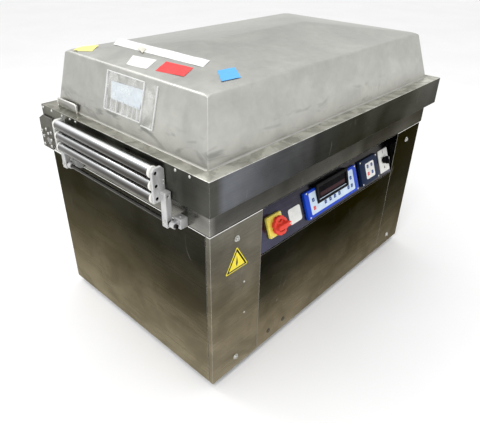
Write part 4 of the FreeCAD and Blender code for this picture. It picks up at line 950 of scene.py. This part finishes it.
def main_switch():
    """Yellow plate with a collar, and the red scalloped knob with its grip bar."""
    middle = CONSOLE @ Matrix.Translation((centre("main_switch_plate").x, 66, 0))
    bm = bmesh.new()
    block(bm, rounded((-35, 35), (-34.5, 34.5), 4), 0, 9.2, middle, 1.8)
    turned(bm, [(33, 8), (33, 9.6), (32.4, 10), (6, 10)], middle, 48)
    piece("switch_plate", bm, yellow_plastic, "cabinet", ["main_switch_plate"])
    bm = bmesh.new()
    for x, y in ((-30, 29.5), (30, 29.5), (-30, -29.5), (30, -29.5)):
        cross_screw(bm, middle @ Matrix.Translation((x, y, 9.0)), 2.6, 1.0)
    piece("switch_screws", bm, screw_metal, "cabinet")
    knob_base, knob_face, grip_top = 19.2, 32.5, 50.5
    bm = bmesh.new()
    ring, opening = [], []
    for i in range(96):
        a = 2*math.pi*i/96
        reach = 31 - 3.4*max(0.0, math.cos(8*a))**3
        ring.append((reach*math.cos(a), reach*math.sin(a)))
        opening.append((20.5*math.cos(a), 20.5*math.sin(a)))
    levels = edge_levels(ring, knob_base, knob_face, 2.4, 1.2)
    loft(bm, levels + [level(opening, knob_face), level(opening, knob_base)], middle, closed=True)
    turned(bm, [(12, knob_base), (12, knob_face), (10, knob_face + 1.5)], middle, 40)
    for a in (45, 135):
        spoke = middle @ Matrix.Rotation(math.radians(a), 4, "Z")
        box(bm, (-22, 22), (-4, 4), (knob_base + 1, knob_face - 2), spoke, 1.0)
    loft(bm, edge_levels(rounded((-29, 29), (-7.5, 7.5), 7), knob_base + 2, grip_top, 3.2), middle)
    turned(bm, [(5, -17), (5, knob_base + 3)], middle, 24)
    piece("switch_knob", bm, red_plastic, "main_switch", ["main_switch_knob"])
    bm = bmesh.new()
    block(bm, rounded((18, 27), (-1.2, 1.2), 1.1), grip_top - 0.4, grip_top + 0.2, middle, 0.1)
    piece("switch_pointer", bm, white_plastic, "main_switch")


def selector():
    """White plate with two plain marks, and the black pointer knob."""
    bm = bmesh.new()
    block(bm, rounded(wide("selector_plate"), (14, 106), 3), 0, 3, CONSOLE, 0.6)
    piece("selector_face", bm, white_plastic, "cabinet", ["selector_plate"])
    middle = CONSOLE @ Matrix.Translation((373, 62, 0))
    bm = bmesh.new()
    block(bm, rounded((-1.6, 1.6), (28, 40), 1.0), 2.9, 3.15, middle, 0.1)
    block(bm, [(-5, -33), (5, -33), (0, -23)], 2.9, 3.15, middle, 0.1)
    for a in (-45, 45):
        turn = middle @ Matrix.Rotation(math.radians(a), 4, "Z")
        block(bm, rounded((-0.8, 0.8), (19, 25), 0.6), 2.9, 3.15, turn, 0.1)
    piece("selector_marks", bm, ink, "cabinet")
    bm = bmesh.new()
    ribs = []
    for i in range(72):
        a = 2*math.pi*i/72
        reach = 13 - 0.5*(i % 3 == 0)
        ribs.append((reach*math.cos(a), reach*math.sin(a)))
    loft(bm, edge_levels(ribs, 4.2, 15.6, 1.2), middle)
    pointer = [(-4.5, -14), (4.5, -14), (4.5, 10), (1.2, 16.5), (-1.2, 16.5), (-4.5, 10)]
    loft(bm, edge_levels(pointer, 14, 28.5, 1.4), middle)
    turned(bm, [(5, -17), (5, 5)], middle, 24)
    piece("selector_grip", bm, black_plastic, "selector", ["selector_knob"])
    bm = bmesh.new()
    block(bm, rounded((-0.8, 0.8), (4, 14), 0.7), 28, 28.9, middle, 0.2)
    piece("selector_line", bm, white_plastic, "selector")
    bm = bmesh.new()
    turned(bm, [(17, 2.8), (17, 3.6), (16, 4.1), (14, 4.1)], middle, 40)
    piece("selector_collar", bm, screw_metal, "cabinet")


def approval_label():
    """Blank rounded white label between the switch and the bezel."""
    bm = bmesh.new()
    block(bm, rounded((-240, -177), (31, 84), 8), 0, 0.5, CONSOLE, 0.15)
    piece("blank_label", bm, white_plastic, "cabinet")


# ---- chamber -------------------------------------------------------------------------------

def chamber():
    dress("chamber_base", band_steel, 1.0)
    dress("seal_jacks", aluminium, 0.8)
    dress("drive_roller", polished)
    dress("idler_roller", polished)
    dress("lid_gasket", gasket_rubber, 1.5)
    dress("cross_shaft", shaft_steel, 0.8)


def belt():
    """Endless belt with shallow cross ribs, over both rollers."""
    (low_x, _, low_z), (high_x, _, high_z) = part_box("conveyor_belt")
    outer = (high_z - low_z)/2/MM
    half = (high_x - low_x)/2/MM - outer
    axis_z = (high_z + low_z)/2/MM
    thick, pitch, rib = 1.8, 12, 0.35
    straight = int(2*half/pitch)*3
    path = []
    for end in (1, -1):
        for i in range(straight):
            path.append((end*(-half + 2*half*i/straight), end, 90*end))
        for i in range(16):
            path.append((end*half, end, 90*end - 180*i/16))
    rings = []
    for i, (x, _, angle) in enumerate(path):
        a = math.radians(angle)
        radius = outer - (rib if i % 3 == 0 else 0)
        ring = []
        for reach, y in ((radius, -230), (radius, 230), (outer - thick, 230),
                         (outer - thick, -230)):
            ring.append((x + reach*math.cos(a), y, axis_z + reach*math.sin(a)))
        rings.append(ring)
    bm = bmesh.new()
    loft(bm, rings, UPRIGHT, closed=True)
    piece("ribbed_belt", bm, belt_rubber, "cabinet", ["conveyor_belt"], 20)


def seal_bars():
    """Heated bars: an aluminium body on two rods, with brown heat tape along the top."""
    for side in ("front", "rear"):
        y = centre(f"seal_bar_{side}").y
        bm = bmesh.new()
        box(bm, (-540, 540), (y - 10, y + 10), (645, 669), radius=1.2)
        for x in (-400, 400):
            turned(bm, [(6, 607.1), (6, 646)], UPRIGHT @ Matrix.Translation((x, y, 0)), 24)
        piece(f"seal_body_{side}", bm, aluminium, f"{side}_seal",
              [f"seal_bar_{side}"])
        bm = bmesh.new()
        box(bm, (-538, 538), (y - 9.6, y + 9.6), (666, 671.2), radius=1.5)
        box(bm, (-536, 536), (y - 2.6, y + 2.6), (670, 672), radius=0.8)
        piece(f"seal_tape_{side}", bm, tape_brown, f"{side}_seal")


def counter_bars():
    """Holders across the lid, each with a silicone strip along its lower face."""
    low = RIM_TOP + 12.3
    holders, strips = bmesh.new(), bmesh.new()
    for y in (-276, 276):
        box(holders, (-596, 596), (y - 12, y + 12), (low + 7, low + 20), radius=1.2)
        box(strips, (-595, 595), (y - 8, y + 8), (low + 0.1, low + 8), radius=1.8)
    piece("counter_holders", holders, aluminium, "lid", ["counter_bars"])
    piece("counter_silicone", strips, silicone, "lid")


# ---- lid -----------------------------------------------------------------------------------

ROUNDS = {"corner": 2.5, "eave": 7, "hip": 14}
LID_LEVELS = {"foot": (FOOT_END, FOOT_FRONT, FOOT_REAR, RIM_TOP + 12.3),
              "flange": (FOOT_END, FOOT_FRONT, FOOT_REAR, FLANGE_TOP),
              "eave": (EAVE_END, EAVE_FRONT, EAVE_REAR, EAVE)}
WALL = 4


def lid_skin(bm, weights, shrink, drop, soft):
    """One skin of the lid, from its foot up to the ridge, and the foot corners it ends on."""
    rings = []
    for end, front, rear, z in LID_LEVELS.values():
        z = z - drop if rings else z
        corners = ((-end + shrink, front + shrink), (end - shrink, front + shrink),
                   (end - shrink, rear - shrink), (-end + shrink, rear - shrink))
        rings.append([bm.verts.new(UPRIGHT @ Vector((x, y, z))) for x, y in corners])
    ridge = [bm.verts.new(UPRIGHT @ Vector((x, RIDGE_Y, RIDGE - drop)))
             for x in (-RIDGE_END, RIDGE_END)]
    for lower, upper in zip(rings, rings[1:]):
        for i in range(4):
            j = (i + 1) % 4
            bm.faces.new((lower[i], lower[j], upper[j], upper[i]))
            edge = bm.edges.get((lower[i], upper[i]))
            edge[weights] = soft*ROUNDS["corner"]/ROUNDS["hip"]
    near, far = ridge
    eave = rings[-1]
    bm.faces.new((eave[0], eave[1], far, near))
    bm.faces.new((eave[1], eave[2], far))
    bm.faces.new((eave[2], eave[3], near, far))
    bm.faces.new((eave[3], eave[0], near))
    for i in range(4):
        bm.edges.get((eave[i], eave[(i + 1) % 4]))[weights] = soft*ROUNDS["eave"]/ROUNDS["hip"]
        bm.edges.get((eave[i], near if i in (0, 3) else far))[weights] = soft
    bm.edges.get((near, far))[weights] = soft
    return rings[0]


def lid_shell():
    bm = bmesh.new()
    weights = bm.edges.layers.float.new("bevel_weight_edge")
    outer = lid_skin(bm, weights, 0, 0, 1.0)
    inner = lid_skin(bm, weights, WALL, WALL, 0.4)
    for i in range(4):
        j = (i + 1) % 4
        bm.faces.new((outer[i], outer[j], inner[j], inner[i]))
    thing = piece("lid_hood", bm, lid_steel, "lid", ["lid_shell"], 180)
    bevel(thing, ROUNDS["hip"], 4, "WEIGHT").use_clamp_overlap = False


def weld_line():
    """Thin fillet where the sloping hood meets the flange."""
    bm = bmesh.new()
    end, front, rear, z = LID_LEVELS["flange"]
    path = rounded((-end, end), (front, rear), 9, 6)
    wide = inset(path, -3.2)
    loft(bm, [level(inset(path, 1.5), z - 0.5), level(wide, z - 0.5), level(wide, z + 0.4),
              level(inset(path, -1.0), z + 1.4), level(inset(path, 0.6), z + 4.5),
              level(inset(path, 1.5), z + 4.5)], UPRIGHT, closed=True)
    piece("lid_weld", bm, weld_steel, "lid", sharp=60)


def lid_apron():
    """Deep folded apron and its flange, around the mouth of the lid."""
    bm = bmesh.new()
    sheet, end, deep = 3, APRON_END, 398
    mouth_x, mouth_front, mouth_rear = 600.9, -353.7, 351.2

    def ring(x, front, rear, z):
        return [(-x, front, z), (x, front, z), (x, rear, z), (-x, rear, z)]

    inner_x, inner_y = end - sheet, deep - sheet
    loft(bm, [ring(end, -deep, deep, RIM_TOP), ring(end, -deep, deep, FLANGE_TOP),
              ring(mouth_x, mouth_front, mouth_rear, FLANGE_TOP),
              ring(mouth_x, mouth_front, mouth_rear, FLANGE_TOP - sheet),
              ring(inner_x, -inner_y, inner_y, FLANGE_TOP - sheet),
              ring(inner_x, -inner_y, inner_y, RIM_TOP)], UPRIGHT, closed=True)
    thing = piece("lid_apron", bm, apron_steel, "lid", ["lid_rim"], 180)
    bevel(thing, 1.4, 3)


def corner_cover():
    """Narrow cover with a rounded rim, on the flange against the foot of the hood."""
    matrix = facing("-x", -603, 0, FLANGE_TOP)
    outline = rounded((-345, -232), (-12, 25), 6, 6)
    outline = [(x, max(y, 0)) for x, y in outline]
    bm = bmesh.new()
    loft(bm, [level(outline, -2), level(outline, 3.4), level(inset(outline, 0.6), 4)], matrix)
    piece("corner_cover", bm, weld_steel, "lid", ["lid_corner_cover"], 50)
    # The rim carries a painted highlight in its bright tone.
    path = [(-344, 0), (-344, 17), (-342.5, 22), (-338, 25.5), (-239, 25.5), (-234.5, 22),
            (-233, 17), (-233, 0)]
    bm = bmesh.new()
    for start, end in zip(path, path[1:]):
        step = Vector((end[0] - start[0], end[1] - start[1], 0))
        turn = Vector((0, 0, 1)).rotation_difference(step).to_matrix().to_4x4()
        along = matrix @ Matrix.Translation((*start, 3)) @ turn
        turned(bm, [(0.3, -2.4), (2, -1.6), (2.6, 0), (2.6, step.length), (2, step.length + 1.6),
                    (0.3, step.length + 2.4)], along, 14)
    piece("cover_rim", bm, rim_highlight_steel, "lid", (), 50)


HINGE_Y, HINGE_Z = 377, 652
PLATE_SPOTS = [(30, 31), (-2, 44), (-12, 31), (-33, 39), (22, 14), (-27, 12), (25, -14),
               (-21, -12)]
APRON_SPOTS = [-331, -278, 187, 219, 265, 330, 385]


def hinge_plates():
    """Cheek plates with rounded edges, bored for the hinge shaft."""
    corners = [(-12, -30), (48, -30), (43, 72), (13, 89), (-47, 89), (-47, 4)]
    bm = bmesh.new()
    for low in (-PLATE_END, APRON_END):
        matrix = facing("+x", low, HINGE_Y, HINGE_Z)
        join(bm, cut_plate(corners, [circle(0, 0, 12.1)], 0, 6, 0.8, matrix))
    piece("hinge_cheeks", bm, cheek_steel, "lid", ["hinge_plates"])


def lid_screws():
    bm = bmesh.new()
    for side, end in (("-x", -1), ("+x", 1)):
        for y in APRON_SPOTS:
            dome_screw(bm, facing(side, end*APRON_END, y, FLANGE_TOP - 8), 4.5, 3.4)
        for dy, dz in PLATE_SPOTS:
            socket_screw(bm, facing(side, end*PLATE_END, HINGE_Y + dy, HINGE_Z + dz), 5, 6.8)
    piece("lid_screws", bm, screw_metal, "lid", ["lid_fasteners"])


# ---- roller table --------------------------------------------------------------------------

ROLLER_X = centre("table_roller_1").x
ROLLER_LOW = centre("table_roller_1").z
ROLLER_PITCH = centre("table_roller_2").z - ROLLER_LOW
PLATE_THICK = 8
PLATE_LOW, PLATE_HIGH = extent("roller_side_plates")
PLATES = {"near": (PLATE_LOW.y, PLATE_LOW.y + PLATE_THICK),
          "far": (PLATE_HIGH.y - PLATE_THICK, PLATE_HIGH.y)}
PLATE_CLIP = 9
ARM_LOW, ARM_HIGH = extent("roller_arms")
ARM_WIDE = 21
ARM_X, PIVOT_Z = centre("cross_shaft").x, centre("cross_shaft").z


def table_rollers():
    """Polished tubes with nylon end caps, on axles that end in a socket."""
    bodies = ("table_roller_low", "table_roller_mid", "table_roller_top")
    near, far = PLATES["near"][1], PLATES["far"][0]
    for i, body in enumerate(bodies):
        matrix = facing("+y", ROLLER_X, 0, ROLLER_LOW + i*ROLLER_PITCH)
        bm = bmesh.new()
        turned(bm, [(14.4, near + 8.1), (15.3, near + 8.3), (15.5, near + 9), (15.5, far - 9),
                    (15.3, far - 8.3), (14.4, far - 8.1)], matrix, 64)
        piece(f"roller_tube_{i + 1}", bm, roller_steel, body,
              [f"table_roller_{i + 1}"])
        bm = bmesh.new()
        for start, sign in ((near + 2, 1), (far - 2, -1)):
            turned(bm, [(5.4, start), (15.3, start), (16.3, start + sign*0.6),
                        (16.5, start + sign*1.4), (16.5, start + sign*4.8),
                        (16.2, start + sign*5.6), (14.6, start + sign*6.4),
                        (5.4, start + sign*6.4)], matrix, 48, closed=True)
        piece(f"roller_caps_{i + 1}", bm, nylon, body)
        bm = bmesh.new()
        ends = PLATES["near"][0] + 2.6, PLATES["far"][1] - 2.6
        shaft = [level(circle(0, 0, 5, 24), z) for z in ends]
        first = [level(hexagon(0, 0, 7), z) for z in (ends[0] + 4, ends[0])]
        last = [level(hexagon(0, 0, 7), z) for z in (ends[1], ends[1] - 4)]
        loft(bm, first + shaft + last, matrix)
        piece(f"roller_axle_{i + 1}", bm, shaft_steel, body)


def side_plates():
    """Plates with clipped corners and a bore for every axle, and the screws that hold them."""
    left, bottom, right, top = PLATE_LOW.x, PLATE_LOW.z, PLATE_HIGH.x, PLATE_HIGH.z
    corners = [(left, bottom), (right, bottom), (right, top - PLATE_CLIP),
               (right - PLATE_CLIP, top), (left + PLATE_CLIP, top), (left, top - PLATE_CLIP)]
    holes = [circle(ROLLER_X, ROLLER_LOW + i*ROLLER_PITCH, 5.15) for i in range(3)]
    bm = bmesh.new()
    for low, high in PLATES.values():
        join(bm, cut_plate(corners, holes, -high, -low, 1.0, UPRIGHT @ FACES["-y"]))
    piece("table_side_plates", bm, aluminium, "roller_table",
          ["roller_side_plates"])
    bm = bmesh.new()
    for z in (727, 716):
        dome_screw(bm, facing("-y", -645.5, PLATES["near"][0], z), 3.0, 2.4)
        dome_screw(bm, facing("+y", -645.5, PLATES["far"][1], z), 3.0, 2.4)
    piece("side_plate_screws", bm, screw_metal, "roller_table")


def roller_arms():
    """Square arms, each cross-drilled near the top and clamped by a cap screw below."""
    bm, screws = bmesh.new(), bmesh.new()
    half = 9.5
    for low, high in ((ARM_LOW.y, ARM_LOW.y + ARM_WIDE), (ARM_HIGH.y - ARM_WIDE, ARM_HIGH.y)):
        outline = rounded((ARM_X - half, ARM_X + half), (ARM_LOW.z, ARM_HIGH.z), 1.2, 2)
        holes = [circle(ARM_X, 687, 3.4, 24), circle(ARM_X, PIVOT_Z, 6.05, 32)]
        join(bm, cut_plate(outline, holes, -high, -low, 1.0, UPRIGHT @ FACES["-y"]))
        middle = (low + high)/2
        socket_screw(screws, facing("-x", ARM_X - half, middle, PIVOT_Z + 1), 4.2, 3.2, washer=6.4)
        turned(screws, [(2.6, -2), (2.6, 0.15), (2.2, 0.2), (1.7, 0.1), (1.6, -1.5)],
               facing("-x", ARM_X - half, middle, 690), 20)
    piece("table_arms", bm, aluminium, "roller_table", ["roller_arms"])
    piece("arm_screws", screws, screw_metal, "roller_table")


def pivot_blocks():
    """Cubes on the chamber band, each with an eye round the cross shaft and a clamp screw."""
    bm, screws = bmesh.new(), bmesh.new()
    for y in (-271, 243):
        box(bm, (-639, -614), (y - 14.5, y + 14.5), (PIVOT_Z - 15, PIVOT_Z + 15), radius=1.2)
        eye = facing("+y", ARM_X, y - 8, PIVOT_Z)
        turned(bm, [(6.1, 0), (9, 0), (10, 1), (10, 15), (9, 16), (6.1, 16)], eye, 40,
               closed=True)
        turned(bm, [(6, 0), (6, 9)], facing("+x", ARM_X + 7, y, PIVOT_Z), 24)
        dome_screw(screws, facing("+z", -627, y, PIVOT_Z + 15), 3.6, 2.6)
    piece("shaft_blocks", bm, aluminium, "cabinet", ["pivot_blocks"])
    piece("block_screws", screws, screw_metal, "cabinet")


# ---- paper, tape and the document pouch ----------------------------------------------------

# The papers' corners are places on the lid in plan, in millimetres, measured from the photograph.

def roof_side(x, y):
    """Point of the roof's roller-end slope above a place in plan."""
    share = (x + EAVE_END)/(EAVE_END - RIDGE_END)
    return Vector((x, y, EAVE + share*ROOF_RISE))


def roof_front(x, y):
    """Point of the roof's front slope above a place in plan."""
    share = (y - EAVE_FRONT)/(RIDGE_Y - EAVE_FRONT)
    return Vector((x, y, EAVE + share*ROOF_RISE))


def lid_end(y, z):
    """Point of the hood's sloping end wall at a given height."""
    share = (z - FLANGE_TOP)/WALL_RISE
    return Vector((-FOOT_END + share*WALL_RUN, y, z))


def sticker(name, corners, normal, material, lift=0.6, curl=2.0, seed=0.0, steps=14):
    """A thin sheet on a sloping face: corners in order, waved and lifted a little at its rim."""
    first, second, third, fourth = corners
    tops, bases = [], []
    for i in range(steps + 1):
        for j in range(steps + 1):
            u, v = i/steps, j/steps
            point = first.lerp(second, u).lerp(fourth.lerp(third, u), v)
            rim = max(abs(2*u - 1), abs(2*v - 1))**6
            wave = noise.noise(Vector((point.x*0.03 + seed, point.y*0.03, point.z*0.05)))
            height = lift + 0.35*lift*wave + curl*rim*max(0.0, wave)
            bases.append(UPRIGHT @ (point + normal*0.15))
            tops.append(UPRIGHT @ (point + normal*height))
    bm = bmesh.new()
    upper = [bm.verts.new(p) for p in tops]
    count = steps + 1
    for i in range(steps):
        for j in range(steps):
            a = i*count + j
            bm.faces.new((upper[a], upper[a + count], upper[a + count + 1], upper[a + 1]))
    rim_edges = [e for e in bm.edges if e.is_boundary]
    made = bmesh.ops.extrude_edge_only(bm, edges=rim_edges)
    skirt = [g for g in made["geom"] if isinstance(g, bmesh.types.BMVert)]
    drop = (UPRIGHT.to_3x3() @ normal)*0.35
    for vert in skirt:
        vert.co -= drop
    return piece(name, bm, material, "lid", sharp=50)


def lid_papers():
    """Blank strips, labels and notes on the two roof slopes."""
    side = Vector((-ROOF_RISE, 0, EAVE_END - RIDGE_END)).normalized()
    front = Vector((0, -ROOF_RISE, RIDGE_Y - EAVE_FRONT)).normalized()
    sticker("white_strip", [roof_side(-387, 284), roof_side(-382, -137), roof_side(-429, -159),
                            roof_side(-438, 246)], side, paper_white, 0.6, 1.5, 3)
    sticker("small_label", [roof_side(-472, 96), roof_side(-459, 0), roof_side(-524, -35),
                            roof_side(-531, 47)], side, paper_white, 0.5, 1.0, 9)
    sticker("red_label", [roof_side(-453, -34), roof_side(-447, -141), roof_side(-505, -168),
                          roof_side(-518, -67)], side, paper_red, 0.6, 1.5, 5)
    sticker("yellow_note", [roof_side(-509, 318), roof_side(-467, 282), roof_side(-518, 243),
                            roof_side(-548, 302)], side, paper_yellow, 0.8, 5, 7)
    sticker("blue_note", [roof_front(-420, -205), roof_front(-358, -209), roof_front(-400, -272),
                          roof_front(-466, -266)], front, paper_blue, 0.7, 4, 2)
    sticker("tape_scrap", [roof_side(-404, 146), roof_side(-412, 108), roof_side(-446, 84),
                           roof_side(-428, 132)], side, tape_clear, 2.6, 3, 4)


def document_pouch():
    """Clear pouch taped to the hood's end, with a paper inside and a loose flap."""
    out = Vector((-WALL_RISE, 0, WALL_RUN)).normalized()
    sticker("pouch_sheet", [lid_end(75, 902), lid_end(-76, 906), lid_end(-67, 853),
                            lid_end(69, 855)], out, paper_blue_white, 1.4, 0.5, 1)
    sticker("pouch_film", [lid_end(95, 928), lid_end(-76, 929), lid_end(-74, 822),
                           lid_end(97, 820)], out, film, 4.5, 2.5, 6, 30)
    sticker("pouch_flap", [lid_end(-74, 925), lid_end(-131, 928), lid_end(-124, 812),
                           lid_end(-82, 818)], out, film, 5.5, 6, 8, 20)
    bm = bmesh.new()
    matrix = on_plane(lid_end(0, 875), (0, -1, 0), (WALL_RUN, 0, WALL_RISE))
    for x0, x1, y0, y1 in ((-96, 76, 52, 55), (-97, -93, -55, 54), (74, 77, -54, 54),
                           (-96, 76, -57, -54), (129, 132, -60, 54), (80, 132, -63, -60)):
        block(bm, rounded((x0, x1), (y0, y1), 1.2, 3), 0.2, 4.2, matrix, 0.8)
    piece("pouch_rim", bm, film_rim, "lid")
    bm = bmesh.new()
    for i in range(7):
        x = -84 + 25*i + 4*math.sin(5*i)
        lean = 3*math.sin(3*i)
        crease = [(x, -53), (x + 2.2, -53), (x + 1.4 + lean, -18 + 5*math.cos(4*i)),
                  (x + lean, -18)]
        block(bm, crease, 3.4, 6.0, matrix, 0.5)
    piece("pouch_creases", bm, film_rim, "lid")


# ---- floor, light and camera ---------------------------------------------------------------

def floor():
    r = Recipe("studio_floor")
    cloud = r.noise(1.6, (1, 1, 1), 3.0)
    tone = r.ramp(cloud, [(0.3, (0.92, 0.92, 0.92)), (0.7, (0.95, 0.95, 0.95))])
    material = r.finish(Base_Color=tone, Roughness=0.8)
    bm = bmesh.new()
    bmesh.ops.create_grid(bm, x_segments=8, y_segments=8, size=14)
    mesh = bpy.data.meshes.new("studio_floor")
    bm.to_mesh(mesh)
    bm.free()
    mesh.materials.append(material)
    thing = bpy.data.objects.new("studio_floor", mesh)
    bpy.context.scene.collection.objects.link(thing)


def softbox(name, place, target, size, power):
    lamp = bpy.data.lights.new(name, "AREA")
    lamp.shape = "RECTANGLE"
    lamp.size, lamp.size_y = size
    lamp.energy = power
    thing = bpy.data.objects.new(name, lamp)
    bpy.context.scene.collection.objects.link(thing)
    thing.location = place
    aim = Vector(target) - Vector(place)
    thing.rotation_euler = aim.to_track_quat("-Z", "Y").to_euler()


def lights():
    world = bpy.data.worlds.new("studio")
    bpy.context.scene.world = world
    world.use_nodes = True
    sky = world.node_tree.nodes["Background"]
    sky.inputs["Color"].default_value = (1, 1, 1, 1)
    sky.inputs["Strength"].default_value = 0.97
    softbox("key", (-2.6, -1.2, 3.2), (-0.2, 0, 0.6), (1.2, 1.2), 40)
    softbox("top", (0.2, 0.2, 4.2), (0, 0, 0.6), (3.0, 3.0), 22)
    softbox("strip", (-1.05, 1.75, 3.1), (-0.65, 0, 0.7), (1.0, 1.7), 20)


def camera():
    """Camera along the line of sight that the named angles give."""
    turn, tilt, roll = (math.radians(a) for a in (VIEW_TURN, VIEW_TILT, VIEW_ROLL))
    sight = Vector((math.sin(turn)*math.cos(tilt), math.cos(turn)*math.cos(tilt),
                    -math.sin(tilt)))
    right = sight.cross(Vector((0, 0, 1))).normalized()
    up = right.cross(sight)
    rolled = right*math.cos(roll) + up*math.sin(roll)
    raised = up*math.cos(roll) - right*math.sin(roll)
    data = bpy.data.cameras.new("view")
    data.lens = VIEW_LENS
    data.sensor_width = VIEW_SENSOR
    thing = bpy.data.objects.new("view", data)
    bpy.context.scene.collection.objects.link(thing)
    thing.matrix_world = (Matrix.Translation(VIEW_PLACE)
                          @ columns(rolled, raised, -sight))
    bpy.context.scene.camera = thing


# ---- build ---------------------------------------------------------------------------------

camera()
floor()
lights()
bpy.context.scene.view_settings.view_transform = "Standard"
cabinet()
cabinet_screws()
panel_seams()
cable_gland()
warning_sign()
push_keys()
control_bezel()
keypad_bezel()
bezel_screws()
display()
main_switch()
selector()
approval_label()
chamber()
belt()
seal_bars()
counter_bars()
lid_shell()
weld_line()
lid_apron()
corner_cover()
hinge_plates()
lid_screws()
table_rollers()
side_plates()
roller_arms()
pivot_blocks()
lid_papers()
document_pouch()

bpy.context.view_layer.update()
